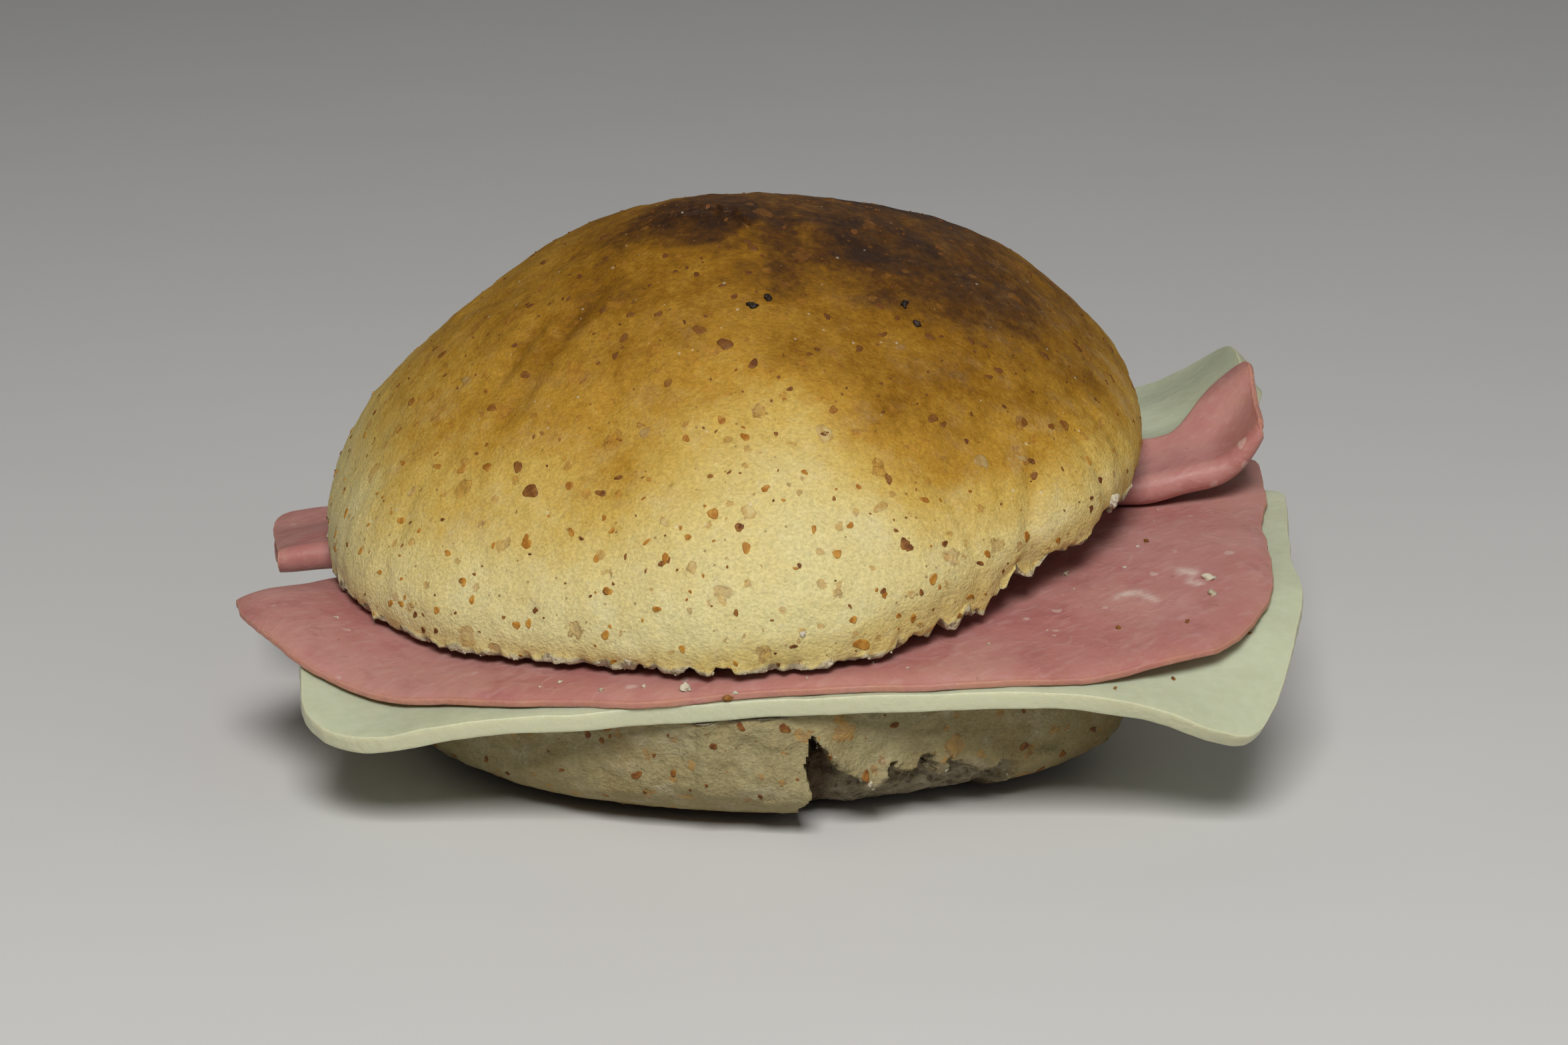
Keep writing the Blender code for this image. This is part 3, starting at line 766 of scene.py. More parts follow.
class Recipe:
    """A procedural finish in the making, with its Principled shader."""

    def __init__(self, name: str) -> None:
        """Starts an empty finish of that name.

        Args:
            name: Name of the material.
        """
        self.material = bpy.data.materials.new(name)
        self.material.use_nodes = True
        self.tree = self.material.node_tree
        self.shader = self.tree.nodes["Principled BSDF"]
        self.place = self.node("ShaderNodeTexCoord", {}, {}, "Object")

    def node(self, kind: str, settings: dict, values: dict, output: "int | str" = 0) -> Wire:
        """Adds a node.

        Args:
            kind: The node's type.
            settings: Its own properties, set first.
            values: Its sockets, by name or number, as numbers, colours or wires.
            output: Which output comes back.

        Returns:
            The chosen output.
        """
        given = {key: value.socket if isinstance(value, Wire) else value for key, value in values.items()}
        return Wire(self, add_node(self.tree, kind, settings, given).outputs[output])

    def mark(self, name: str) -> Wire:
        """Value of one of the piece's own attributes."""
        return self.node("ShaderNodeAttribute", {"attribute_name": name}, {}, "Fac")

    def spots(self, size: float, detail: float = 3.0, rough: float = 0.55, place: Wire | None = None) -> Wire:
        """Soft noise whose lumps are about that many millimetres across, around 0.5."""
        return self.node("ShaderNodeTexNoise", {}, {
            "Vector": place or self.place, "Scale": 1.0 / (size * MM), "Detail": detail, "Roughness": rough})

    def warped(self, size: float, reach: float) -> Wire:
        """The place on the piece, pushed about by noise of that size and reach in millimetres.

        Args:
            size: Size of the noise.
            reach: How far it pushes.

        Returns:
            The pushed place.
        """
        values = {"Vector": self.place, "Scale": 1.0 / (size * MM), "Detail": 2.0}
        push = self.node("ShaderNodeTexNoise", {}, values, "Color")
        centred = self.node("ShaderNodeVectorMath", {"operation": "SUBTRACT"}, {0: push, 1: (0.5, 0.5, 0.5)})
        pushed = self.scale(centred, 2.0 * reach * MM)
        return self.node("ShaderNodeVectorMath", {"operation": "ADD"}, {0: self.place, 1: pushed})

    def stretched(self, x: float, y: float, z: float, turn: float = 0.0) -> Wire:
        """The place on the piece, scaled along each axis after a turn about Z."""
        values = {"Vector": self.place, "Rotation": (0.0, 0.0, turn), "Scale": (x, y, z)}
        return self.node("ShaderNodeMapping", {"vector_type": "TEXTURE"}, values)

    def cells(self, size: float, place: Wire | None = None) -> tuple[Wire, Wire]:
        """Distance to the nearest cell centre, in cells, and that cell's own random number.

        Args:
            size: Size of a cell in millimetres.
            place: Place on the piece, where it isn't the plain one.

        Returns:
            The distance and the number.
        """
        values = {"Vector": place or self.place, "Scale": 1.0 / (size * MM)}
        distance = self.node("ShaderNodeTexVoronoi", {}, values)
        colour = Wire(self, distance.socket.node.outputs["Color"])
        split = self.node("ShaderNodeSeparateColor", {}, {0: colour})
        return distance, split

    def dots(self, size: float, empty: float, largest: float, edge: tuple[float, float],
             place: Wire | None = None) -> Wire:
        """1 inside round spots of uneven size, in cells of which a share stays empty."""
        distance, chance = self.cells(size, place)
        return (chance.ramp(empty, 1.0) * largest - distance).ramp(*edge)

    def mix(self, factor: "Wire | float", first: "Wire | Colour", second: "Wire | Colour") -> Wire:
        """Colour between two colours."""
        low, high = (value if isinstance(value, Wire) else (*value, 1.0) for value in (first, second))
        return self.node("ShaderNodeMix", {"data_type": "RGBA", "clamp_factor": True},
                         {0: factor, 6: low, 7: high}, 2)

    def scale(self, colour: Wire, factor: "Wire | float") -> Wire:
        """Colour or vector times a number."""
        return self.node("ShaderNodeVectorMath", {"operation": "SCALE"}, {0: colour, "Scale": factor})

    def gradient(self, value: Wire, stops: list[tuple[float, Colour]]) -> Wire:
        """Colour that follows a value along a few stops.

        Args:
            value: The value.
            stops: Positions and their colours.

        Returns:
            The colour.
        """
        made = self.node("ShaderNodeValToRGB", {}, {0: value})
        ramp = made.socket.node.color_ramp
        while len(ramp.elements) < len(stops):
            ramp.elements.new(1.0)
        for element, (position, colour) in zip(ramp.elements, stops):
            element.position = position
            element.color = (*colour, 1.0)
        return made

    def bump(self, height: Wire, depth: float, under: Wire | None = None) -> Wire:
        """Normal that gives a height of that many millimetres for each unit of the value.

        Args:
            height: The value.
            depth: Millimetres for each unit.
            under: A normal that lies beneath.

        Returns:
            The normal.
        """
        values = {"Height": height, "Distance": depth * MM, "Strength": 1.0}
        if under is not None:
            values["Normal"] = under
        return self.node("ShaderNodeBump", {}, values)

    def finish(self, values: dict) -> bpy.types.Material:
        """Feeds the shader's sockets, by name, and hands the material over.

        Args:
            values: Numbers, colours or wires by socket name.

        Returns:
            The material.
        """
        for key, value in values.items():
            if isinstance(value, Wire):
                self.tree.links.new(value.socket, self.shader.inputs[key])
            else:
                self.shader.inputs[key].default_value = value
        return self.material


@dataclass(frozen=True)
class CrustFinish:
    """Baked crust, from pale dough through gold to scorched brown, with flush bran and flour."""

    name: str
    stops: tuple[tuple[float, Colour], ...]
    crumb: Colour = (0.56, 0.49, 0.34)
    crumb_shade: Colour = (0.44, 0.37, 0.24)
    # Dark colour in the crumb's pores: painted shade inside them
    pore: Colour = (0.24, 0.185, 0.11)
    bran: Colour = (0.25, 0.095, 0.015)
    bran_light: Colour = (0.47, 0.22, 0.028)
    bran_rim: Colour = (0.14, 0.050, 0.010)
    speck: Colour = (0.17, 0.07, 0.02)
    # Near-black colour of the cracks and of the heel's slit: painted shade inside them
    split: Colour = (0.050, 0.020, 0.008)
    flour: Colour = (0.72, 0.67, 0.53)
    flour_share: float = 0.35
    roughness: float = 0.60
    skin_bump: float = 0.22

    def flakes(self, recipe: Recipe, size: float, largest: float) -> tuple[Wire, Wire]:
        """Flat bran flakes under the skin.

        Args:
            recipe: The finish that they belong to.
            size: Spacing of the flakes.
            largest: Radius of the largest, as a share of the spacing.

        Returns:
            Where the flakes are, and where their darker outlines are.
        """
        distance, chance = recipe.cells(size, recipe.warped(size * 0.30, size * 0.20))
        ragged = recipe.spots(size * 0.20, 3.0, 0.65)
        radius = chance.ramp(0.45, 1.0) * largest * (0.5 + ragged)
        inside = (radius - distance).ramp(-0.01, 0.05)
        partial = recipe.spots(size * 0.45, 2.0).ramp(0.42, 0.58)
        outline = inside * (radius - distance).ramp(0.09, 0.02) * partial
        return inside, outline

    def make(self) -> bpy.types.Material:
        """Builds the material.

        Returns:
            The crust material, which reads the attributes toast, crumb, crack and flour.
        """
        r = Recipe(self.name)
        toast, crumb, crack, dust = r.mark("toast"), r.mark("crumb"), r.mark("crack"), r.mark("flour")
        mottle = (r.spots(6.0, 4.0, 0.6) - 0.5) * 0.40 + (r.spots(1.3, 3.0, 0.6) - 0.5) * 0.34
        # The toast mark is real browning and, on the crown, painted shade as well
        colour = r.gradient(toast + mottle * (0.42 + toast * 0.45), list(self.stops))
        grain = r.spots(0.36, 2.0, 0.7, r.stretched(1.35, 1.0, 1.0))
        colour = r.scale(colour, grain * 0.85 + 0.575)
        large, large_rim = self.flakes(r, 4.4, 0.34)
        small, small_rim = self.flakes(r, 2.1, 0.30)
        bran = r.mix(r.spots(1.1, 2.0).ramp(0.35, 0.65), self.bran, self.bran_light)
        bran = r.mix(toast.ramp(0.5, 1.0) * 0.7, bran, self.bran_rim)
        colour = r.mix(large * 0.42, colour, bran)
        colour = r.mix(small * 0.48, colour, bran)
        colour = r.mix(large_rim * 0.60 + small_rim * 0.45, colour, self.bran_rim)
        colour = r.mix(r.dots(1.15, 0.55, 0.18, (-0.01, 0.03)) * 0.60, colour, self.speck)
        colour = r.mix(r.dots(1.7, 0.60, 0.13, (-0.01, 0.03)) * 0.35, colour, self.flour)
        flour_patch = r.spots(5.0, 4.0, 0.65).ramp(0.47, 0.72) * dust
        flour_grain = r.spots(0.55, 3.0, 0.7).ramp(0.50, 0.70)
        flour = flour_patch * (0.35 + flour_grain * 0.65) * self.flour_share
        colour = r.mix(flour, colour, self.flour)
        # Darker in the pores: painted shade
        pore_distance, _ = r.cells(1.5, r.warped(1.2, 0.35))
        pores = pore_distance.ramp(0.42, 0.18)
        inner = r.mix(r.spots(2.2, 3.0).ramp(0.3, 0.7), self.crumb, self.crumb_shade)
        inner = r.mix(pores * 0.75, inner, self.pore)
        colour = r.mix(crumb, colour, inner)
        # Painted shade in the cracks
        colour = r.mix(crack * 0.9, colour, self.split)
        wrinkle = r.spots(2.6, 3.0, 0.6)
        skin = wrinkle * 0.8 + r.spots(0.8, 2.0, 0.6) * 0.6 + grain * 0.75
        normal = r.bump(skin * self.skin_bump + crumb * (pore_distance * 0.7 + grain * 0.4), 1.0)
        shine = self.roughness + (r.spots(1.8, 2.0) - 0.5) * 0.22 + flour * 0.25 + crumb * 0.30 - toast * 0.06
        r.finish({
            "Base Color": colour,
            "Roughness": shine,
            "Normal": normal,
            "Subsurface Weight": 0.10,
            "Subsurface Radius": (1.0, 0.55, 0.25),
            "Subsurface Scale": 0.0011,
            "Specular IOR Level": 0.13,
        })
        return r.material


@dataclass(frozen=True)
class CheeseFinish:
    """Pale mild cheese: nearly even, faintly mottled, with a satin skin and drier rims."""

    name: str
    body: Colour = (0.520, 0.565, 0.400)
    shade: Colour = (0.460, 0.490, 0.330)
    rim: Colour = (0.590, 0.575, 0.385)
    grain: Colour = (0.630, 0.655, 0.50)
    eye: Colour = (0.33, 0.29, 0.16)

    def make(self) -> bpy.types.Material:
        """Builds the material, which reads the attribute rim.

        Returns:
            The cheese material.
        """
        r = Recipe(self.name)
        mottle = r.spots(16.0, 4.0).ramp(0.32, 0.70)
        colour = r.mix(mottle, self.body, self.shade)
        grain = r.spots(1.3, 3.0).ramp(0.35, 0.7)
        colour = r.mix(grain * 0.20, colour, self.grain)
        colour = r.mix(r.mark("rim") * 0.6, colour, self.rim)
        eyes = r.dots(7.5, 0.62, 0.085, (-0.004, 0.02), r.warped(3.0, 0.5))
        colour = r.mix(eyes * 0.45, colour, self.eye)
        drag = r.spots(1.0, 3.0, 0.5, r.stretched(9.0, 1.0, 1.0, 0.12))
        surface = drag * 0.5 + r.spots(3.5, 3.0) * 0.9 + r.spots(0.4, 2.0) * 0.22 - eyes * 0.8
        surface = surface + r.mark("rim") * r.spots(0.7, 3.0, 0.6) * 1.2
        r.finish({
            "Base Color": colour,
            "Roughness": 0.40 + (r.spots(4.0, 3.0) - 0.5) * 0.26,
            "Normal": r.bump(surface, 0.10),
            "Subsurface Weight": 0.42,
            "Subsurface Radius": (1.0, 0.72, 0.36),
            "Subsurface Scale": 0.0030,
            "Specular IOR Level": 0.45,
        })
        return r.material


@dataclass(frozen=True)
class HamFinish:
    """Cooked ham: pink muscle with paler seams and flecks, a tan smoked rim and a moist face."""

    name: str
    lean: Colour = (0.405, 0.155, 0.142)
    deep: Colour = (0.330, 0.108, 0.102)
    pale: Colour = (0.470, 0.225, 0.200)
    thread: Colour = (0.52, 0.305, 0.275)
    fat: Colour = (0.62, 0.47, 0.41)
    cured: Colour = (0.46, 0.235, 0.165)
    smoked: Colour = (0.47, 0.225, 0.145)
    gristle: Colour = (0.24, 0.075, 0.060)

    def make(self) -> bpy.types.Material:
        """Builds the material, which reads the attributes rim, edge and fat.

        Returns:
            The ham material.
        """
        r = Recipe(self.name)
        colour = r.mix(r.spots(13.0, 4.0, 0.6).ramp(0.34, 0.66), self.lean, self.pale)
        colour = r.mix(r.spots(5.0, 4.0, 0.6, r.warped(8.0, 2.0)).ramp(0.50, 0.72) * 0.55, colour, self.deep)
        fibre = r.spots(1.0, 3.0, 0.6, r.stretched(3.5, 1.0, 1.0, 0.7))
        colour = r.mix(fibre.ramp(0.50, 0.72) * 0.40, colour, self.thread)
        curve = r.spots(5.5, 2.0, 0.5, r.warped(7.0, 2.5)) - 0.5
        threads = (curve * curve).ramp(0.0016, 0.0001) * r.spots(8.0, 2.0).ramp(0.45, 0.65)
        colour = r.mix(threads * 0.26, colour, self.thread)
        flecks = r.dots(3.1, 0.55, 0.24, (-0.02, 0.10), r.warped(1.5, 0.7))
        colour = r.mix(flecks * 0.55, colour, self.fat)
        dots = r.dots(2.2, 0.62, 0.13, (-0.01, 0.05), r.warped(1.0, 0.4))
        colour = r.mix(dots * 0.5, colour, self.gristle)
        colour = r.mix(r.mark("fat") * r.spots(1.2, 3.0).ramp(0.25, 0.55), colour, self.fat)
        colour = r.mix(r.mark("edge") * r.spots(3.0, 3.0).ramp(0.30, 0.62) * 0.35, colour, self.cured)
        smoked = r.mark("rim") * (0.30 + r.spots(3.0, 3.0).ramp(0.35, 0.65) * 0.35)
        colour = r.mix(smoked, colour, self.smoked)
        surface = fibre * 0.7 + r.spots(2.4, 3.0, 0.6) * 0.9 + r.spots(0.5, 2.0) * 0.26 + flecks * 0.25
        surface = surface + threads * 0.3 + r.mark("rim") * r.spots(0.8, 3.0, 0.6) * 1.0
        r.finish({
            "Base Color": colour,
            "Roughness": 0.52 + (r.spots(2.6, 2.0) - 0.5) * 0.30,
            "Coat Weight": r.spots(9.0, 2.0).ramp(0.42, 0.66) * 0.08,
            "Coat Roughness": 0.32,
            "Normal": r.bump(surface, 0.13),
            "Subsurface Weight": 0.36,
            "Subsurface Radius": (1.0, 0.42, 0.34),
            "Subsurface Scale": 0.0026,
            "Specular IOR Level": 0.32,
        })
        return r.material


@dataclass(frozen=True)
class BitFinish:
    """Small loose bits, each of a slightly different shade."""

    name: str
    dark: Colour
    light: Colour
    roughness: float
    spread: float = 4.0
    burnt: Colour = (0.115, 0.038, 0.008)
    browned: float = 0.9

    def make(self) -> bpy.types.Material:
        """Builds the material, which reads the attribute toast.

        Returns:
            The bits' material.
        """
        r = Recipe(self.name)
        shade = r.mix(r.spots(self.spread, 1.0).ramp(0.32, 0.68), self.dark, self.light)
        colour = r.mix(r.spots(0.45, 3.0).ramp(0.55, 0.75) * 0.4, shade, self.light)
        # Darker where the skin under the bit is toasted, which on the crown includes its painted shade
        colour = r.mix(r.mark("toast").ramp(0.25, 0.75) * self.browned, colour, self.burnt)
        r.finish({
            "Base Color": colour,
            "Roughness": self.roughness + (r.spots(0.7, 2.0) - 0.5) * 0.2,
            "Normal": r.bump(r.spots(0.4, 3.0), 0.10),
            "Specular IOR Level": 0.22,
        })
        return r.material


CROWN_STOPS = (
    (0.00, (0.64, 0.560, 0.275)),
    (0.18, (0.62, 0.490, 0.185)),
    (0.36, (0.54, 0.365, 0.085)),
    (0.54, (0.41, 0.220, 0.026)),
    (0.72, (0.24, 0.108, 0.007)),
    (0.88, (0.092, 0.036, 0.005)),
    (1.00, (0.036, 0.015, 0.006)),
)
# The heel's crust colours are darker than the crown's, partly painted shade under the filling
HEEL_STOPS = (
    (0.00, (0.320, 0.275, 0.145)),
    (0.30, (0.275, 0.220, 0.105)),
    (0.60, (0.220, 0.148, 0.060)),
    (1.00, (0.130, 0.070, 0.024)),
)


# Pieces


@dataclass(frozen=True)
class Crease:
    """A valley pressed into the crown's skin between two local positions."""

    start: tuple[float, float]
    end: tuple[float, float]
    depth: float
    width: float

    def press(self, x: Array, y: Array) -> Array:
        """Depth of the valley at each point."""
        away = np.hypot(*off_line(x, y, self.start, self.end))
        return self.depth * np.exp(-((away / self.width) ** 2))


@dataclass
class Crown:
    """Domed upper half with its baked skin, ragged rim and open crumb underneath."""

    filling: Filling
    centre: tuple[float, float, float] = (-5.9, 16.7, 29.1)
    tilt_back: float = math.radians(9.7)
    tilt_right: float = math.radians(8.5)
    radius: float = 52.2
    height: float = 33.7
    power: float = 1.50
    tuck: float = math.radians(11.0)
    flat: float = 1.7
    flat_azimuth: tuple[float, float] = (0.05, 0.50)
    flat_lift: tuple[float, float] = (0.40, 0.32)
    wave: float = 0.8
    wavelength: float = 44.0
    rim_rag: float = 0.7
    rim_pitch: float = 0.12
    rim_fade: float = 14.0
    sag: float = 1.8
    sag_azimuth: float = math.radians(-66.0)
    sag_spread: float = math.radians(26.0)
    dome_steps: float = 17.0
    wall_step: float = 0.4
    cap_round: float = 3.5
    side_round: float = 0.10
    side_growth: float = 1.0105
    teeth: float = 1.25
    rim_lip: Ramp = (0.93, 0.07)
    crack_above: float = 0.6
    crack_depth: float = 1.2
    columns: int = 560
    density: float = 0.55
    front: float = math.radians(-80.0)
    under_rows: int = 22
    dome_rows: int = 148
    notches: tuple[tuple[float, float, float], ...] = (
        (math.radians(-47.3), 0.014, 2.0), (math.radians(-96.5), 0.012, 1.2),
        (math.radians(-128.0), 0.020, 0.8))
    creases: tuple[Crease, ...] = (
        Crease((-11.3, -11.3), (-23.1, -23.9), 0.85, 2.0), Crease((-18.8, -12.7), (-24.0, -18.0), 0.60, 1.6),
        Crease((-4.0, -22.0), (-13.0, -33.0), 0.30, 2.2), Crease((37.0, -31.1), (35.3, -37.8), 0.50, 0.9),
        Crease((41.0, -22.0), (45.0, -24.5), 0.35, 1.1), Crease((43.5, -16.0), (47.5, -18.0), 0.35, 1.0),
        Crease((27.0, -38.5), (30.0, -42.0), 0.25, 1.0), Crease((-36.0, -26.0), (-40.0, -31.0), 0.25, 1.3))
    # Where browning starts round the crown: partly real browning, partly painted shade, the front kept paler
    # and the sides, the right most of all, browning sooner where light falls off
    brown_and_shade_degrees: tuple[float, ...] = (
        -180.0, -150.0, -105.0, -80.0, -58.0, -30.0, -12.0, 20.0, 60.0, 120.0, 180.0)
    brown_and_shade_from: tuple[float, ...] = (0.40, 0.41, 0.43, 0.50, 0.32, 0.19, 0.10, 0.06, 0.20, 0.32, 0.40)
    brown_climb: tuple[float, ...] = (-0.26, -0.12, 0.0, 0.10, 0.22, 0.45)
    brown_levels: tuple[float, ...] = (0.02, 0.11, 0.32, 0.50, 0.65, 0.74)
    top_climb: tuple[float, ...] = (0.76, 0.86, 0.93, 0.99)
    top_levels: tuple[float, ...] = (0.0, 0.80, 0.90, 1.0)

    def turn(self) -> Array:
        """Rotation that leans the crown: back edge up, right side up.

        Returns:
            The matrix.
        """
        cb, sb = math.cos(self.tilt_back), math.sin(self.tilt_back)
        cr, sr = math.cos(self.tilt_right), math.sin(self.tilt_right)
        about_x = np.array([[1.0, 0.0, 0.0], [0.0, cb, -sb], [0.0, sb, cb]])
        about_y = np.array([[cr, 0.0, -sr], [0.0, 1.0, 0.0], [sr, 0.0, cr]])
        return about_x @ about_y

    def rim_line(self, azimuth: Array) -> Array:
        """How far the rim stands above or below an even circle.

        Args:
            azimuth: Directions round the piece.

        Returns:
            One height for each direction.
        """
        circle = np.stack([np.cos(azimuth), np.sin(azimuth)], axis=-1)
        line = self.rim_rag * ripple(circle, self.rim_pitch, SEED + 4)
        line = line - self.sag * bell(azimuth, self.sag_azimuth, self.sag_spread)
        for where, width, depth in self.notches:
            line = line + depth * bell(azimuth, where, width)
        return line

    def dome(self, azimuth: Array, dome_t: Array) -> Array:
        """Local positions on the dome, from the rim at 0 to the top at 1.

        Args:
            azimuth: Directions round the piece.
            dome_t: Climb from the rim at 0 to the top at 1.

        Returns:
            One position for each pair.
        """
        lift = dome_t * (math.pi / 2.0 + self.tuck) - self.tuck
        round_r = self.radius * np.abs(np.cos(lift)) ** (2.0 / self.power)
        blunt = np.sqrt(round_r**2 + self.cap_round**2 * smooth(lift)) / self.radius
        high = np.abs(1.0 - np.minimum(blunt, 1.0) ** self.power) ** (1.0 / self.power)
        high = np.sign(np.sin(lift)) * high
        level = np.abs(np.sin(lift)) ** (2.0 / self.power)
        eased = np.sqrt(level**2 + self.side_round**2 * (1.0 - level**2))
        wide = self.radius * self.side_growth * np.maximum(1.0 - eased**self.power, 0.0) ** (1.0 / self.power)
        high = high * self.height + self.height * math.sin(self.tuck) ** (2.0 / self.power)
        wide = wide - self.flat * bell(azimuth, *self.flat_azimuth) * bell(lift, *self.flat_lift)
        local = np.stack([np.cos(azimuth) * wide, np.sin(azimuth) * wide, high], axis=-1)
        swell = 1.0 + self.wave / self.radius * ripple(local, self.wavelength, SEED + 3)
        local = local * swell[..., None]
        local[..., 2] += self.rim_line(azimuth) * np.exp(-(((lift + self.tuck) * self.rim_fade) ** 2))
        return local

    def crack(self, local: Array) -> Array:
        """1 along the short split beside the top, easing to 0 at its edges.

        Args:
            local: Positions before the crown is leaned.

        Returns:
            One value for each position.
        """
        x, y = local[..., 0], local[..., 1]
        line = 0.7 - 0.015 * np.maximum(x, 0.0) ** 3 + 0.35 * ripple(x[..., None], 2.4, SEED + 31)
        width = 0.95 * smooth((x + 3.0) / 3.0) * smooth((8.2 - x) / 3.0)
        return smooth(1.2 - np.abs(y - line) / np.maximum(width, 1e-3)) * (width > 0.02)

    def toast(self, local: Array, dome_t: Array, azimuth: Array) -> Array:
        """How brown the skin is drawn, from pale dough at 0 to scorched at 1; it also carries painted shade
        at the rim, in the creases and towards the right and back.

        Args:
            local: Positions before the crown is leaned.
            dome_t: Climb from the rim at 0 to the top at 1.
            azimuth: Directions round the piece.

        Returns:
            One value for each position.
        """
        # Start of browning by azimuth, which also paints shade towards the sides
        start = np.interp(np.degrees(azimuth), self.brown_and_shade_degrees, self.brown_and_shade_from)
        start = start + 0.06 * lumps(local, 15.0, SEED + 32, 2)
        base = np.interp(dome_t - start, self.brown_climb, self.brown_levels)
        top = np.interp(dome_t, self.top_climb, self.top_levels)
        # Browner at the rim: painted shade under the crown's lower edge
        rim = 0.17 * (1.0 - rise(dome_t, (0.02, 0.16)))
        # Browner at the right back: painted shade where light falls off
        rear_shade = 0.20 * bell(azimuth, math.radians(30.0), 0.8) * bell(dome_t, 0.60, 0.25)
        cloud = 0.06 * lumps(local, 9.0, SEED + 33, 3)
        # Dark patch at the right: partly real browning, partly painted shade where light falls off
        right_patch_and_shade = 0.12 * bell(azimuth, math.radians(-22.0), 0.26) * bell(dome_t, 0.62, 0.14)
        scorch = 0.16 * np.exp(-(((local[..., 0] - 12.0) / 16.0) ** 2 + ((local[..., 1] + 5.0) / 9.0) ** 2))
        scorch = scorch * (0.7 + 0.6 * lumps(local, 3.4, SEED + 45, 3))
        # Browner along the creases: painted shade in their valleys
        crease_shade = 0.09 * sum(crease.press(local[..., 0], local[..., 1]) for crease in self.creases)
        toast = np.maximum(base, top) + rim + rear_shade + cloud * (0.4 + base) + right_patch_and_shade + scorch + crease_shade
        return np.clip(toast, 0.0, 1.0)

    def relief(self, local: Array, dome_t: Array) -> Array:
        """Height of the skin's lumps, wrinkles, creases and split over the plain dome.

        Args:
            local: Positions before the crown is leaned.
            dome_t: Climb from the rim at 0 to the top at 1.

        Returns:
            One height for each position.
        """
        wrinkle = np.abs(lumps(local, 6.0, SEED + 34, 2))
        height = 0.42 * lumps(local, 17.0, SEED + 35, 2) - 0.22 * wrinkle + 0.10
        height = height + 0.12 * lumps(local, 2.6, SEED + 36, 2) + 0.035 * lumps(local, 0.9, SEED + 37)
        for crease in self.creases:
            height = height - crease.press(local[..., 0], local[..., 1]) + 0.10 * crease.depth
        above = dome_t > self.crack_above
        lip = 0.40 * self.crack(local + np.array([0.0, 1.1, 0.0])) * above
        return height - self.crack_depth * self.crack(local) * above + lip

    def build(self) -> Thing:
        """Builds the crown.

        Returns:
            The closed crown, with the attributes toast, crumb, crack and flour.
        """
        turn = turns_round(self.columns, self.density, self.front)
        under = np.concatenate([np.arange(1, self.under_rows) / self.under_rows, np.ones(self.dome_rows)])
        climb = (np.arange(self.dome_rows) / self.dome_rows) ** 1.15
        dome_t = np.concatenate([np.zeros(self.under_rows - 1), climb])
        dome_t, azimuth = np.meshgrid(dome_t, turn, indexing="ij")
        under = np.broadcast_to(under[:, None], azimuth.shape)
        local = self.dome(azimuth, dome_t) * under[..., None]
        world = local @ self.turn().T + np.array(self.centre)
        normal = grid_normals(world, True)
        inside = dome_t <= 0.0
        skin = rise(dome_t, (-0.004, 0.02))
        foam = 0.9 * pits(world, 3.2, SEED + 38) + 0.4 * lumps(world, 1.5, SEED + 39) - 1.0
        height = self.relief(local, dome_t) * skin + foam * inside * rise(-under, (-0.97, 0.06))
        at_rim = np.exp(-((dome_t / 0.016) ** 2)) * rise(under, self.rim_lip)
        jags = 0.55 * lumps(world, 1.4, SEED + 40, 2) + 0.45 * lumps(world, 4.0, SEED + 41)
        world = world + normal * height[..., None]
        world[..., 2] += jags * at_rim
        outward = laid_out(np.cos(azimuth), np.sin(azimuth))
        frill = 0.65 * lumps(world, 1.5, SEED + 42, 3) + 0.55 * lumps(world, 4.5, SEED + 44, 2)
        world = world + outward * (frill * at_rim)[..., None]
        clear = self.filling.top(world[..., 0], world[..., 1]) + self.filling.gap
        world[..., 2] = np.maximum(world[..., 2], clear + self.wall_step * dome_t * self.dome_steps)
        plan = world * np.array([1.0, 1.0, 0.0])
        jagged = np.clip(lumps(plan, 1.5, SEED + 46, 3) + 0.15, 0.0, 1.3)
        teeth = self.teeth * jagged * rise(under, self.rim_lip)
        above = world[..., 2] - clear
        near = np.exp(-((above / 1.3) ** 2)) * rise(under, self.rim_lip)
        world[..., 2] = clear + np.hypot(above, teeth) + teeth * at_rim * (1.0 - near)
        world = world + outward * (0.75 * lumps(plan, 1.3, SEED + 47, 3) * near)[..., None]
        top = np.array([0.0, 0.0, self.dome(np.array([0.0]), np.array([1.0]))[0, 2]]) @ self.turn().T
        low = np.array(self.centre)
        low[2] = max(low[2], float(clear[0].mean()))
        ragged = 0.008 + 0.010 * lumps(world, 1.8, SEED + 43, 2)
        low_down = 1.0 - smooth((above - 0.6 - 0.7 * lumps(plan, 1.6, SEED + 48, 2)) / 0.5)
        toast = self.toast(local, dome_t, azimuth)
        marks = {
            "toast": toast,
            "crumb": np.maximum(1.0 - smooth((dome_t - ragged) / 0.008 + 0.5), low_down),
            # Marks the split, into which the crust finish paints shade
            "crack": smooth(self.crack(local) * (dome_t > self.crack_above) * 1.3 - 0.15),
            "flour": np.clip(0.25 + 0.9 * (1.0 - dome_t) - 0.6 * toast, 0.0, 1.0),
        }
        return turned_mesh("crown_crust", world, low, top + np.array(self.centre), marks)


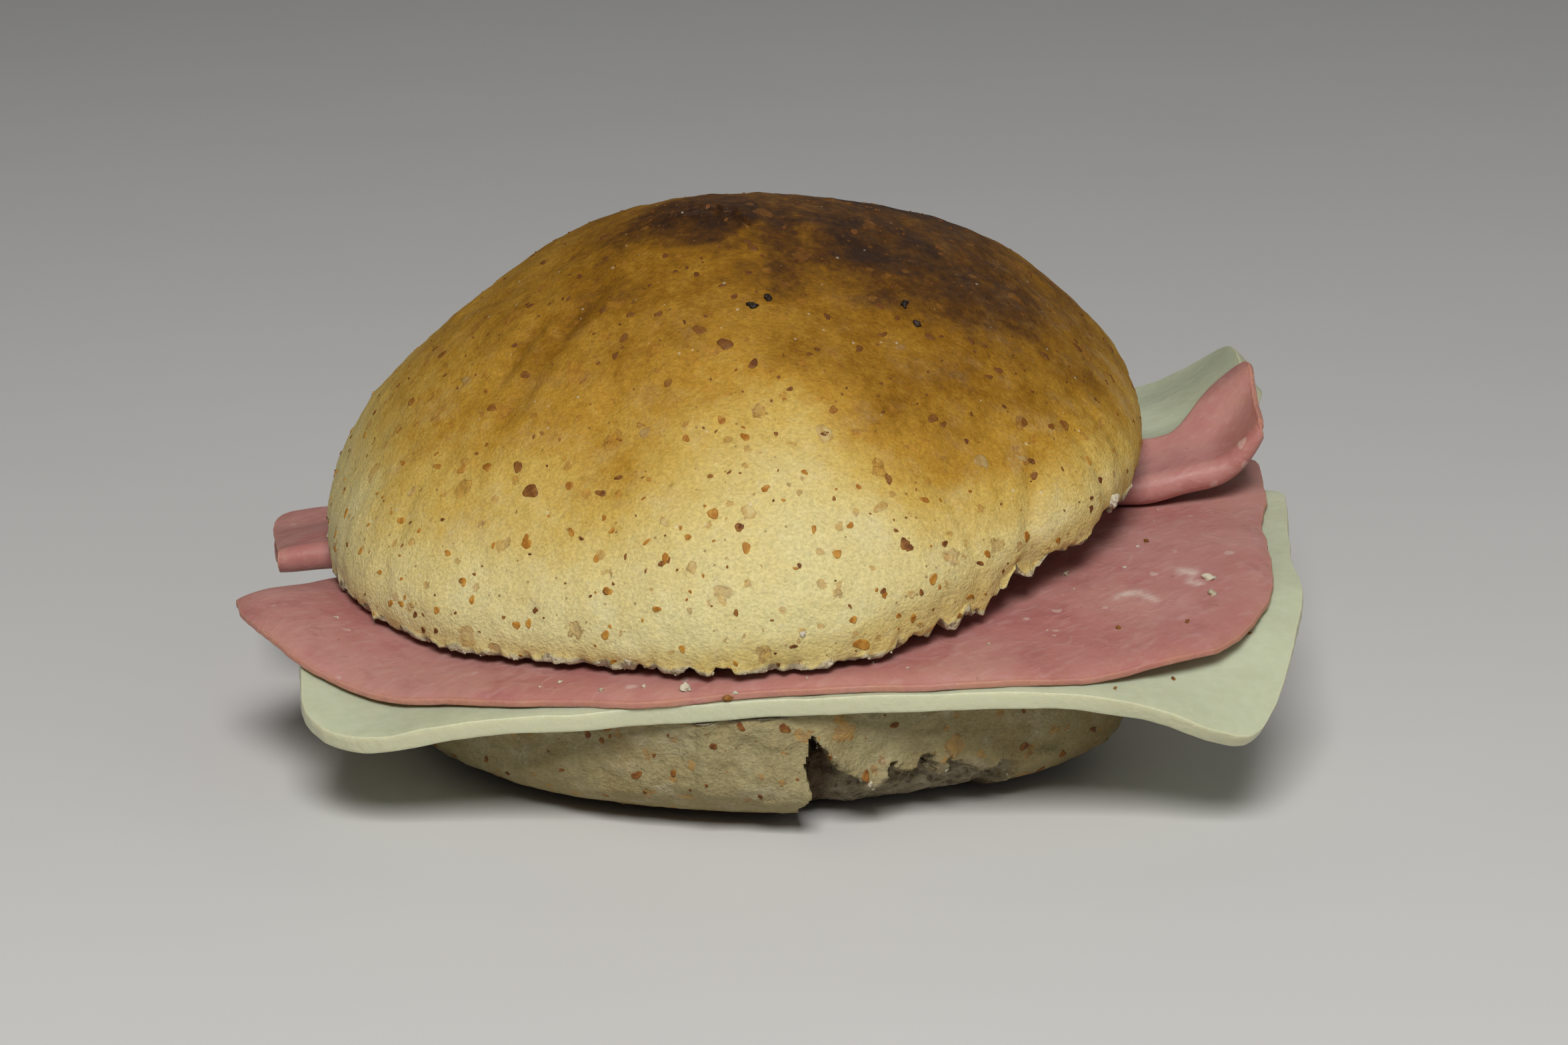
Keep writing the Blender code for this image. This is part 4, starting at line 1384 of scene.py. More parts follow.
@dataclass
class Heel:
    """Lower half: flat baked base, rounded side, torn front crust and open crumb on top."""

    filling: Filling
    centre: tuple[float, float] = (-4.0, 13.0)
    rim_r: float = 49.0
    belly_r: float = 47.2
    flat_r: float = 30.0
    belly_z: float = 7.5
    bulge: float = 3.2
    bulge_azimuth: float = math.radians(-35.0)
    bulge_spread: float = math.radians(15.0)
    dense_azimuth: float = math.radians(-68.0)
    density: float = 0.60
    wave: float = 0.7
    wavelength: float = 26.0
    tear_azimuth: float = math.radians(-81.5)
    tear_sway: float = 0.013
    flap_lift: float = 2.2
    flap_reach: float = math.radians(16.0)
    flap_top: Ramp = (3.0, 10.0)
    crumb_depth: float = 2.7
    columns: int = 640
    base_rows: int = 12
    wall_rows: int = 84
    top_rows: int = 24
    torn_end: float = math.radians(-46.0)
    edge_degrees: tuple[float, ...] = (
        -83.0, -81.6, -79.5, -76.5, -72.2, -70.2, -65.0, -60.0, -52.5, -48.5, -46.0)
    edge_heights: tuple[float, ...] = (-3.0, 13.2, 10.8, 8.4, 5.2, 7.4, 7.9, 7.0, 6.6, 3.0, -3.0)

    def side_wave(self, azimuth: Array, z: Array) -> Array:
        """Slow unevenness of the side."""
        round_side = [np.cos(azimuth) * self.rim_r, np.sin(azimuth) * self.rim_r, z]
        return self.wave * ripple(np.stack(round_side, axis=-1), self.wavelength, SEED + 2)

    def torn(self, azimuth: Array, z: Array) -> Array:
        """1 where the crust is torn away, with a ragged edge.

        Args:
            azimuth: Directions round the piece.
            z: Heights.

        Returns:
            One value for each place.
        """
        away = laid_out(azimuth * self.rim_r, z)
        swayed = azimuth + self.tear_sway * lumps(away * np.array([0.2, 1.0, 1.0]), 3.0, SEED + 50, 3)
        edge = np.interp(np.degrees(swayed), self.edge_degrees, self.edge_heights)
        edge = edge + 1.25 * lumps(away, 2.2, SEED + 51, 4) * (azimuth > self.tear_azimuth + 0.02)
        return smooth((edge - z) / 0.30 + 0.5)

    def torn_rim(self, azimuth: Array, z: Array) -> Array:
        """Share of crumb that clings along the torn edge of the crust.

        Args:
            azimuth: Directions round the piece.
            z: Heights.

        Returns:
            One share for each place.
        """
        away = laid_out(azimuth * self.rim_r, z)
        edge = np.interp(np.degrees(azimuth), self.edge_degrees, self.edge_heights)
        cling = bell(z - edge, 0.0, 0.9) * smooth(0.4 + lumps(away, 1.6, SEED + 64, 2))
        return 0.7 * cling * (azimuth > self.tear_azimuth) * (azimuth < self.torn_end)

    def relief(self, azimuth: Array, z: Array, place: Array) -> tuple[Array, Array]:
        """Outward relief of the side.

        Args:
            azimuth: Direction of each point.
            z: Height of each point.
            place: Position of each point, for the crumb's pores.

        Returns:
            The relief, and where crumb shows.
        """
        before = (self.tear_azimuth - azimuth) / self.flap_reach
        flap = np.where((before > 0.0) & (before < 1.0), self.flap_lift * (1.0 - before) ** 2, 0.0)
        flap = flap * (1.0 - rise(z, self.flap_top))
        torn = self.torn(azimuth, z)
        slit = torn * (1.0 - smooth((azimuth - self.tear_azimuth - 0.10) / 0.05))
        foam = 1.9 * (pits(place, 3.2, SEED + 52) - 0.6) + 1.0 * (pits(place, 1.3, SEED + 53) - 0.6)
        foam = foam + 0.35 * lumps(place * np.array([1.0, 1.0, 0.6]), 0.9, SEED + 58, 2)
        edge = np.interp(np.degrees(azimuth), self.edge_degrees, self.edge_heights)
        curl = 0.5 * np.exp(-(((edge - z) / 1.6) ** 2))
        curl = curl * (1.0 - torn) * (azimuth > self.tear_azimuth) * (azimuth < self.torn_end)
        bulge = self.bulge * bell(azimuth, self.bulge_azimuth, self.bulge_spread)
        skin = 0.34 * lumps(place, 8.0, SEED + 54, 3) + 0.42 * lumps(place, 2.8, SEED + 55, 4)
        skin = skin + 0.28 * lumps(place, 1.1, SEED + 59, 2) * (1.0 - rise(z, (0.3, 1.6)))
        ridge = 0.7 * bell(azimuth, math.radians(-96.0), 0.022) * rise(z, (2.0, 5.0))
        depth = flap + curl + ridge + bulge - torn * (self.crumb_depth - foam) - 2.0 * slit
        return depth + skin * (1.0 - torn), torn

    def build(self) -> Thing:
        """Builds the lower half.

        Returns:
            The closed lower half, with the attributes toast, crumb, crack and flour.
        """
        base = np.arange(1, self.base_rows + 1) / self.base_rows
        wall = np.arange(1, self.wall_rows + 1) / self.wall_rows
        top = np.arange(1, self.top_rows) / self.top_rows
        rows = len(base) + len(wall) + len(top)
        base_t = np.concatenate([base, np.ones(rows - len(base))])
        wall_t = np.concatenate([np.zeros(len(base)), wall, np.ones(len(top))])
        top_t = np.concatenate([np.zeros(len(base) + len(wall)), top])
        columns = turns_round(self.columns, self.density, self.dense_azimuth)
        azimuth = np.broadcast_to(columns[None], (rows, self.columns))
        base_t, wall_t, top_t = (np.broadcast_to(t[:, None], azimuth.shape) for t in (base_t, wall_t, top_t))
        circle = np.stack([np.cos(azimuth), np.sin(azimuth)], axis=-1)
        rim = np.array(self.centre) + circle * self.rim_r
        rim_z = self.filling.heel_top(rim[..., 0], rim[..., 1])
        curl = np.clip(wall_t * 2.0, 0.0, 1.0) * math.pi / 2.0
        side = np.clip(wall_t * 2.0 - 1.0, 0.0, 1.0)
        radius = self.flat_r + (self.belly_r - self.flat_r) * np.sin(curl)
        radius = radius + (self.rim_r - self.belly_r) * side
        z = self.belly_z * (1.0 - np.cos(curl)) + (rim_z - self.belly_z) * side
        place = np.stack([circle[..., 0] * radius, circle[..., 1] * radius, z], axis=-1)
        depth, torn = self.relief(azimuth, z, place)
        radius = (radius + (self.side_wave(azimuth, z) + depth) * np.sin(curl)) * base_t
        z = np.where(wall_t <= 0.0, 0.0, z)
        edge = radius[len(base) + len(wall) - 1]
        radius = np.where(top_t > 0.0, edge[None] * (1.0 - top_t), radius)
        xy = np.array(self.centre) + circle * radius[..., None]
        z = np.where(wall_t >= 1.0, self.filling.heel_top(xy[..., 0], xy[..., 1]), z)
        points = np.concatenate([xy, z[..., None]], axis=-1)
        low = np.array([*self.centre, 0.0])
        centre_x, centre_y = np.array([self.centre[0]]), np.array([self.centre[1]])
        high = np.array([*self.centre, self.filling.heel_top(centre_x, centre_y)[0]])
        open_face = smooth((wall_t - 0.985 + 0.012 * lumps(points, 2.0, SEED + 56, 2)) / 0.02)
        streak = lumps(points * np.array([1.0, 1.0, 0.35]), 4.0, SEED + 57, 3)
        brown = 0.75 * (1.0 - rise(z, (0.4, 3.0))) + 0.30 * bell(azimuth, math.radians(-22.0), 0.35)
        marks = {
            "toast": np.clip(0.22 + brown + 0.16 * streak, 0.0, 1.0),
            "crumb": np.maximum(np.maximum(torn, open_face), self.torn_rim(azimuth, z)),
            "frill": self.torn_rim(azimuth, z) * (wall_t < 1.0) * (wall_t > 0.0),
            # Where the crust parts at the start of the tear: painted shade in the slit, through the split
            # colour
            "crack": 0.85 * torn * (1.0 - smooth((azimuth - self.tear_azimuth - 0.05) / 0.05)),
            "flour": np.clip(0.8 + 0.5 * streak - brown, 0.0, 1.0),
        }
        return turned_mesh("heel_crust", points, low, high, marks)


def square_grid(rows: int, columns: int) -> tuple[Array, Array]:
    """Even grid over -1..1: values across the columns and up the rows."""
    return np.meshgrid(np.linspace(-1.0, 1.0, columns), np.linspace(-1.0, 1.0, rows))


def rounded(u: Array, v: Array, power: Array) -> tuple[Array, Array]:
    """Carries the square grid onto a rounded square of the given corner power.

    Args:
        u: Values across.
        v: Values up.
        power: Corner power; 2 is a circle.

    Returns:
        The values carried over.
    """
    reach = np.maximum(np.abs(u), np.abs(v))
    spread = (np.abs(u) ** power + np.abs(v) ** power) ** (1.0 / power)
    share = reach / np.maximum(spread, 1e-9)
    return u * share, v * share


def to_edges(u: Array) -> Array:
    """Draws an even grid closer together towards its edges."""
    return np.sin(u * EDGE_DRAW) / math.sin(EDGE_DRAW)


Plan = Callable[[Array, Array, Array], tuple[Array, Array]]
Height = Callable[[Array, Array], Array]


@dataclass
class FlatSlice:
    """A flat slice of cheese or ham that lies on what is under it."""

    name: str
    size: Slice
    thickness: float
    base: Height
    plan: Plan
    rag: float
    draw: int
    fine_rag: float
    sway: float = 0.10
    swell: float = 0.12
    feather: float = 0.0
    settle: float = 0.0
    rows: int = 124
    columns: int = 230
    probe: float = 0.3

    def lie(self, x: Array, y: Array) -> Array:
        """Height of the slice's middle, with a slight sway."""
        sway = self.sway * lumps(laid_out(x, y), 9.0, SEED + 62, 2)
        return self.base(x, y) + self.thickness / 2.0 + sway

    def facing(self, x: Array, y: Array) -> Array:
        """Unit normals of the slice's middle.

        Args:
            x: Places across.
            y: Places towards the back.

        Returns:
            One normal for each place.
        """
        slope_x = (self.lie(x + self.probe, y) - self.lie(x - self.probe, y)) / (2.0 * self.probe)
        slope_y = (self.lie(x, y + self.probe) - self.lie(x, y - self.probe)) / (2.0 * self.probe)
        normal = np.stack([-slope_x, -slope_y, np.ones_like(x)], axis=-1)
        return normal / np.linalg.norm(normal, axis=-1, keepdims=True)

    def build(self) -> Thing:
        """Builds the slice.

        Returns:
            The closed slice, with the attributes rim and edge.
        """
        u, v = square_grid(self.rows, self.columns)
        u, v = to_edges(u), to_edges(v)
        reach = np.maximum(np.abs(u), np.abs(v))
        ru, rv = rounded(u, v, self.size.power(u, v))
        flat = np.stack([ru * self.size.half_x, rv * self.size.half_y], axis=-1)
        uneven = ripple(flat, 16.0, SEED + self.draw) * self.rag * reach**6
        cut = laid_out(flat[..., 0], flat[..., 1])
        uneven = uneven + self.fine_rag * lumps(cut, 2.6, SEED + 61, 3) * reach**14
        x = self.size.x + ru * (self.size.half_x + uneven)
        y = self.size.y + rv * (self.size.half_y + uneven)
        x, y = self.plan(x, y, reach)
        level = laid_out(x, y)
        full = self.thickness * (1.0 + 0.05 * lumps(level, 3.0, SEED + 63, 2))
        lost = self.feather * full * reach**40
        middle = np.stack([x, y, self.lie(x, y) - lost / 2.0 - self.settle * reach**30], axis=-1)
        full = full - lost
        return Sheet(middle, self.facing(x, y), full, self.swell).mesh(self.name, {"edge": reach**10})


@dataclass
class FoldedSlice:
    """The ham slice folded in two along its length, fold to the front."""

    filling: Filling
    name: str = "ham_folded"
    bend_share: float = 0.222
    slant: float = 0.16
    slant_left: Ramp = (0.0, 60.0)
    fine_rag: float = 0.08
    swell: float = 0.10
    feather: float = 0.45
    corner_cells: int = 4
    rows: int = 170
    columns: int = 230

    def build(self) -> Thing:
        """Builds the folded slice.

        Returns:
            The closed slice, with the attributes rim and edge.
        """
        fill = self.filling
        size, thick = fill.ham_upper, fill.ham_t
        u, v = square_grid(self.rows, self.columns)
        u = to_edges(u)
        ru, rv = rounded(u, v, size.power(u, v))
        shrink = np.where(np.abs(v) > 1e-6, rv / np.where(np.abs(v) > 1e-6, v, 1.0), 1.0)
        share = np.abs(v)
        cut = laid_out(ru * size.half_x, rv * size.half_y)
        rag = self.fine_rag * lumps(cut, 3.0, SEED + 67, 3)
        x = size.x + size.half_x * ru + rag * np.abs(u) ** 14 * np.sign(u)
        bend_r = (thick + fill.fold_gap) / 2.0
        turn = np.sign(v) * np.clip(share / self.bend_share, 0.0, 1.0) * math.pi / 2.0
        leaf = np.clip((share - self.bend_share) / (1.0 - self.bend_share), 0.0, 1.0)
        straight = leaf * shrink * fill.fold_depth(x) + rag * leaf**10
        y = fill.fold_line(x) + bend_r * (1.0 - np.cos(turn)) + straight
        x = x - self.slant * straight * rise(-x, self.slant_left)
        level = laid_out(x, y)
        z = fill.ham_upper_base(x, y) + thick / 2.0 + bend_r * (1.0 + np.sin(turn))
        z = z + 0.08 * lumps(level, 8.0, SEED + 65, 2)
        full = thick * (1.0 + 0.06 * lumps(level, 3.0, SEED + 66, 2))
        full = full * (1.0 - self.feather * np.maximum(np.abs(u), share) ** 40)
        middle = np.stack([x, y, z], axis=-1)
        marks = {"edge": np.maximum(np.abs(u), share) ** 10}
        sheet = Sheet(middle, self.steady(grid_normals(middle, False)), full, self.swell)
        return sheet.mesh(self.name, marks)

    def steady(self, normals: Array) -> Array:
        """Gives the grid's four corners, where its lines run together, the normal of a point further in.

        Args:
            normals: Normals by row and column.

        Returns:
            The same normals, mended.
        """
        near, far = slice(None, self.corner_cells), slice(-self.corner_cells, None)
        for rows, row in ((near, self.corner_cells), (far, -self.corner_cells - 1)):
            for columns, column in ((near, self.corner_cells), (far, -self.corner_cells - 1)):
                normals[rows, columns] = normals[row, column]
        return normals


# Scattered bits


@dataclass(frozen=True)
class BitShape:
    """One small bit, modelled about a millimetre across: a thin flake or a rough grain."""

    name: str
    seed: int
    flat: bool
    corners: int = 18
    levels: tuple[tuple[float, float], ...] = ((1.0, -0.10), (0.90, 0.07), (0.66, 0.09), (0.34, 0.06))

    def flake(self) -> tuple[Array, Array, list[list[int]]]:
        """Makes an irregular flake.

        Returns:
            Its points in a plane, each one's height over the surface once it is laid down, and its faces.
        """
        rng = np.random.default_rng(self.seed)
        count, levels = self.corners, len(self.levels)
        turn = np.arange(count) / count * 2.0 * math.pi
        uneven = 0.16 * np.cos(2.0 * turn + rng.uniform(0.0, 6.0))
        uneven = uneven + 0.11 * np.cos(3.0 * turn + rng.uniform(0.0, 6.0))
        reach = 0.5 * (1.0 + uneven + 0.05 * rng.normal(size=count))
        ring = np.stack([np.cos(turn) * reach, np.sin(turn) * reach * rng.uniform(0.55, 0.95)], axis=1)
        plane = np.vstack([*(ring * share for share, _ in self.levels), np.zeros((1, 2))])
        lift = np.concatenate([np.repeat([high for _, high in self.levels], count), [self.levels[-1][1]]])
        lift = lift + np.where(lift > 0.0, 0.035, 0.0) * rng.normal(size=len(lift)).clip(-1.5, 1.5)
        number = np.arange(count)
        after = (number + 1) % count
        bands = [np.stack([number, after, after + count, number + count], axis=1) + count * k
                 for k in range(levels - 1)]
        inner = (levels - 1) * count
        fan = np.stack([inner + number, inner + after, np.full(count, levels * count)], axis=1)
        faces = [row for block in (*bands, fan) for row in block.tolist()] + [number[::-1].tolist()]
        return np.column_stack([plane, np.zeros(len(plane))]), lift, faces

    def grain(self) -> tuple[Array, Array, list[list[int]]]:
        """Makes a rough grain; its heights over the surface are the grain's own.

        Returns:
            Its points, those heights, and its faces.
        """
        bpy.ops.mesh.primitive_ico_sphere_add(subdivisions=3, radius=0.5)
        ball = bpy.context.object
        points = np.array([v.co[:] for v in ball.data.vertices])
        faces = [list(p.vertices) for p in ball.data.polygons]
        bpy.data.objects.remove(ball, do_unlink=True)
        rough = 1.0 + 0.75 * lumps(points, 0.42, self.seed, 3)
        return points * rough[:, None] * np.array([1.0, 0.78, 0.60]), points[:, 2] * 0.0, faces

    def build(self) -> Thing:
        """Builds the bit as a hidden model for the scatter, in metres for each unit of size.

        Returns:
            The model, which isn't linked to the scene.
        """
        points, lift, faces = self.flake() if self.flat else self.grain()
        mesh = bpy.data.meshes.new(self.name)
        mesh.from_pydata((points * MM).tolist(), [], faces)
        set_mark(mesh, "lift", lift)
        mesh.shade_smooth()
        return bpy.data.objects.new(self.name, mesh)


@dataclass
class Surface:
    """The skin of a piece, onto which bits are laid."""

    carrier: Thing
    lens: Lens = Lens()

    def __post_init__(self) -> None:
        """Gets the piece's faces ready for the search."""
        self.tree = BVHTree.FromObject(self.carrier, bpy.context.evaluated_depsgraph_get())

    def browning(self, points: Array) -> Array:
        """How toasted the skin is under each layout position; on the crown this includes its painted shade.

        Args:
            points: Layout positions near the skin.

        Returns:
            One value for each position.
        """
        if "toast" not in self.carrier.data.attributes:
            return np.zeros(len(points))
        marks, faces = mesh_mark(self.carrier, "toast"), self.carrier.data.polygons
        nearest = [self.tree.find_nearest(Vector(point))[2] for point in to_frame(points)]
        return np.array([marks[faces[face].vertices[0]] for face in nearest])

    def draped(self, points: Array, lift: Array) -> Array:
        """Lays points onto the skin.

        Args:
            points: Layout positions near the skin.
            lift: Height over the skin of each.

        Returns:
            Their new layout positions.
        """
        laid = []
        for point, high in zip(to_frame(points), lift):
            spot, normal, _, _ = self.tree.find_nearest(Vector(point))
            laid.append((np.array(spot) / MM - SHIFT) + np.array(normal) * high)
        return np.array(laid)

    def seen(self, across: float, down: float) -> tuple[Array, Array] | None:
        """Layout position and normal of the skin seen at a pixel of the front view, or none."""
        spot, normal, _, _ = self.tree.ray_cast(
            Vector(to_frame(self.lens.eye())), Vector(self.lens.ray(across, down)))
        return None if spot is None else (np.array(spot) / MM - SHIFT, np.array(normal))


@dataclass(frozen=True)
class Spot:
    """A bit seen in the front view: its pixel across and down, and its size in millimetres."""

    across: float
    down: float
    size: float = 1.2


def spots(*rows: tuple[float, float, float]) -> tuple[Spot, ...]:
    """Spots from rows of a pixel's two numbers and a size."""
    return tuple(Spot(*row) for row in rows)


@dataclass
class SeenBits:
    """Bits whose places are read off the front view."""

    name: str
    flat: bool
    spots: tuple[Spot, ...]

    def build(self, surface: Surface) -> Thing:
        """Lays every bit onto the skin that is seen at its pixel.

        Args:
            surface: The skin that carries them.

        Returns:
            The bits as one plain mesh.
        """
        points, faces, start = [], [], 0
        for number, spot in enumerate(self.spots):
            found = surface.seen(spot.across, spot.down)
            if found is None:
                LOG.info("%s: nothing is seen at %s", self.name, spot)
                continue
            shape = BitShape(self.name, SEED + 200 + number, self.flat)
            plane, lift, corners = shape.flake() if self.flat else shape.grain()
            turn = 2.4 * number
            first = np.cross(found[1], [math.sin(turn), 0.3, math.cos(turn)])
            first /= np.linalg.norm(first)
            axes = np.stack([first, np.cross(found[1], first), found[1]])
            laid = found[0] + plane * spot.size @ axes
            points.append(surface.draped(laid, lift) if self.flat else laid + found[1] * 0.15 * spot.size)
            faces += [[corner + start for corner in face] for face in corners]
            start += len(plane)
        laid = np.vstack(points)
        return new_mesh(self.name, laid, [], {"toast": surface.browning(laid)}, faces)


@dataclass
class Scatter:
    """Geometry Nodes tree that strews random bits of a collection over a surface and makes them real."""

    name: str
    finish: bpy.types.Material
    size_seed: int = 7
    size_power: float = 2.2
    sockets: dict[str, str] = field(default_factory=dict)

    def build(self) -> bpy.types.NodeTree:
        """Builds the tree with its named inputs.

        Returns:
            The node tree; sockets then holds each input's identifier by name.
        """
        tree = bpy.data.node_groups.new(self.name, "GeometryNodeTree")
        kinds = {"Surface": "Geometry", "Bits": "Collection", "Density": "Float", "Seed": "Int",
                 "Smallest": "Float", "Largest": "Float"}
        for label, kind in kinds.items():
            made = tree.interface.new_socket(label, in_out="INPUT", socket_type=f"NodeSocket{kind}")
            self.sockets[label] = made.identifier
        tree.interface.new_socket("Strewn", in_out="OUTPUT", socket_type="NodeSocketGeometry")
        given = add_node(tree, "NodeGroupInput", {}, {}).outputs
        weight = add_node(tree, "GeometryNodeInputNamedAttribute", {}, {"Name": "strew"})
        density = add_node(tree, "ShaderNodeMath", {"operation": "MULTIPLY"},
                           {0: weight.outputs["Attribute"], 1: given["Density"]})
        drop = add_node(tree, "GeometryNodeDistributePointsOnFaces", {},
                        {"Mesh": given["Surface"], "Density": density.outputs[0], "Seed": given["Seed"]})
        spin = add_node(tree, "FunctionNodeRandomValue", {"data_type": "FLOAT"},
                        {3: 2.0 * math.pi, "Seed": given["Seed"]})
        about = add_node(tree, "ShaderNodeCombineXYZ", {}, {"Z": spin.outputs[1]})
        euler = add_node(tree, "FunctionNodeEulerToRotation", {}, {0: about.outputs[0]})
        turned = add_node(tree, "FunctionNodeRotateRotation", {"rotation_space": "LOCAL"},
                          {0: drop.outputs["Rotation"], 1: euler.outputs[0]})
        size = add_node(tree, "FunctionNodeRandomValue", {"data_type": "FLOAT"},
                        {3: 1.0, "Seed": self.size_seed})
        skewed = add_node(tree, "ShaderNodeMath", {"operation": "POWER"},
                          {0: size.outputs[1], 1: self.size_power})
        spread = add_node(tree, "ShaderNodeMapRange", {}, {
            "Value": skewed.outputs[0], "To Min": given["Smallest"], "To Max": given["Largest"]})
        source = add_node(tree, "GeometryNodeCollectionInfo", {},
                          {"Separate Children": True, "Collection": given["Bits"]})
        copies = add_node(tree, "GeometryNodeInstanceOnPoints", {}, {
            "Pick Instance": True, "Points": drop.outputs["Points"], "Instance": source.outputs[0],
            "Rotation": turned.outputs[0], "Scale": spread.outputs["Result"]})
        real = add_node(tree, "GeometryNodeRealizeInstances", {}, {0: copies.outputs[0]})
        dressed = add_node(tree, "GeometryNodeSetMaterial", {},
                           {"Material": self.finish, "Geometry": real.outputs[0]})
        add_node(tree, "NodeGroupOutput", {}, {0: dressed.outputs[0]})
        return tree

    def strew(self, surface: Surface, weight: Array, bits: bpy.types.Collection,
              density: float, seed: int, sizes: tuple[float, float]) -> Thing:
        """Strews the bits over a carrier; flakes then follow its skin.

        Args:
            surface: The skin of the piece that carries them.
            weight: Share of the density at each of its points.
            bits: The models to choose from.
            density: Bits for each square centimetre where the weight is 1.
            seed: Seed of the random draw.
            sizes: Smallest and largest size in millimetres.

        Returns:
            The strewn bits as one plain mesh.
        """
        host = bpy.data.objects.new(self.name + "_host", surface.carrier.data.copy())
        bpy.context.scene.collection.objects.link(host)
        set_mark(host.data, "strew", weight)
        modifier = host.modifiers.new(self.name, "NODES")
        modifier.node_group = self.build()
        values = {"Bits": bits, "Density": density * 1e4, "Seed": seed,
                  "Smallest": sizes[0], "Largest": sizes[1]}
        for label, value in values.items():
            modifier[self.sockets[label]] = value
        evaluated = host.evaluated_get(bpy.context.evaluated_depsgraph_get())
        mesh = bpy.data.meshes.new_from_object(evaluated)
        mesh.name = self.name
        thing = bpy.data.objects.new(self.name, mesh)
        bpy.context.scene.collection.objects.link(thing)
        bpy.data.objects.remove(host, do_unlink=True)
        lift = mesh_mark(thing, "lift")
        if np.abs(lift).max(initial=0.0) > 0.0:
            laid = to_frame(surface.draped(mesh_points(thing), lift))
            mesh.vertices.foreach_set("co", laid.ravel())
        mesh.attributes.remove(mesh.attributes["lift"])
        if "toast" in mesh.attributes:
            mesh.attributes.remove(mesh.attributes["toast"])
        set_mark(mesh, "toast", surface.browning(mesh_points(thing)))
        return thing


@dataclass
class Bits:
    """Bran flakes, seeds and crumbs that lie on the roll."""

    def models(self, name: str, flat: bool, count: int) -> bpy.types.Collection:
        """Collection of a few different bits, which the view layer doesn't show.

        Args:
            name: Name of the kind.
            flat: Whether they are flakes.
            count: How many.

        Returns:
            The collection.
        """
        kinds = bpy.data.collections.new(name)
        for k in range(count):
            kinds.objects.link(BitShape(f"{name}_{k}", SEED + 70 + k, flat).build())
        return kinds

    def clear(self, kinds: bpy.types.Collection) -> None:
        """Removes the models once everything is strewn."""
        bpy.data.batch_remove([*kinds.objects, kinds])


# What is seen where in the front view, which is Lens.width by Lens.height pixels

AMBER_FLAKES = spots(
    (1049, 495, 1.6), (936, 507, 1.4), (1002, 575, 1.5), (909, 388, 1.2), (998, 384, 1.1),
    (654, 523, 1.3), (617, 603, 1.6), (738, 612, 1.3), (656, 700, 1.3), (604, 695, 1.1), (854, 729, 1.2),
    (1070, 771, 1.7), (857, 799, 1.2), (1032, 806, 1.0), (998, 838, 1.4), (695, 873, 1.2),
    (602, 781, 1.2), (672, 830, 1.1), (541, 827, 1.0), (1457, 512, 1.3), (1250, 615, 1.2),
    (1399, 628, 1.3), (1415, 637, 1.1), (1577, 640, 1.2), (1633, 692, 1.3), (1387, 750, 1.2),
    (1256, 831, 1.3), (1221, 794, 1.0), (1540, 805, 1.3), (1481, 831, 1.2), (1148, 733, 1.2),
    (1280, 930, 1.1), (1370, 927, 1.2), (1293, 967, 2.2), (1455, 895, 1.2), (586, 905, 1.0),
    (655, 916, 1.1), (756, 986, 1.1), (912, 887, 1.2), (970, 813, 1.0), (503, 824, 1.1), (775, 938, 1.2),
    (985, 914, 1.2),
)
DARK_FLAKES = spots(
    (1088, 516, 1.9), (1130, 546, 1.5), (923, 534, 1.2), (815, 394, 1.4), (1045, 412, 1.0),
    (796, 459, 1.1), (777, 701, 1.7), (796, 737, 2.1), (901, 740, 1.4), (928, 717, 1.1), (1109, 791, 1.3),
    (909, 888, 1.0), (1177, 341, 1.1), (1123, 409, 1.1), (1241, 475, 1.2), (1289, 523, 1.3),
    (1498, 556, 1.3), (1237, 651, 1.2), (1551, 714, 1.2), (1333, 719, 1.4), (1357, 816, 1.5),
    (1364, 822, 1.0), (1417, 816, 1.1), (1325, 887, 0.9), (1382, 889, 0.9), (1470, 845, 1.0),
    (1650, 720, 1.0), (1637, 763, 0.9), (635, 945, 0.9), (692, 872, 0.9), (803, 916, 0.9),
    (992, 846, 0.9), (521, 817, 0.8), (1547, 692, 1.1), (1190, 970, 0.9),
)
PALE_FLAKES = spots(
    (700, 572, 1.6), (619, 737, 1.5), (967, 649, 1.9), (996, 783, 1.4), (1123, 768, 2.2),
    (1351, 521, 1.5), (1237, 651, 2.6), (1472, 692, 2.0), (1533, 688, 1.3), (1321, 761, 2.0),
    (1203, 947, 1.0), (1367, 892, 1.2), (1380, 937, 1.1), (619, 907, 1.0),
)
BURNT_SEEDS = spots(
    (1128, 459, 1.1), (1150, 448, 1.0), (1355, 457, 1.1), (1375, 488, 0.9),
)
CROWN_TUFTS = spots(
    (628, 971, 1.8), (634, 976, 1.3), (1668, 752, 1.6), (1675, 757, 1.2), (1203, 950, 0.7),
)
HEEL_FLAKES = spots(
    (910, 1091, 1.3), (955, 1163, 1.4), (1010, 1160, 1.2), (1111, 1090, 1.3), (1070, 1120, 1.1),
    (1342, 1088, 1.2), (1245, 1135, 1.4), (1537, 1120, 1.3), (1640, 1095, 1.2),
)
HAM_CRUMBS = spots(
    (1813, 868, 1.3), (1817, 892, 1.0), (1598, 862, 0.8), (1458, 867, 0.7), (1029, 1033, 1.2),
    (840, 1024, 0.5), (902, 1036, 0.6), (966, 1030, 0.5), (1102, 1040, 0.5),
)
HAM_HUSKS = spots(
    (1091, 1047, 0.9), (1677, 943, 0.6), (1780, 933, 0.6), (1719, 813, 0.6),
)
CHEESE_HUSKS = spots(
    (1873, 950, 0.5), (1759, 1019, 0.5), (1672, 1033, 0.5),
)
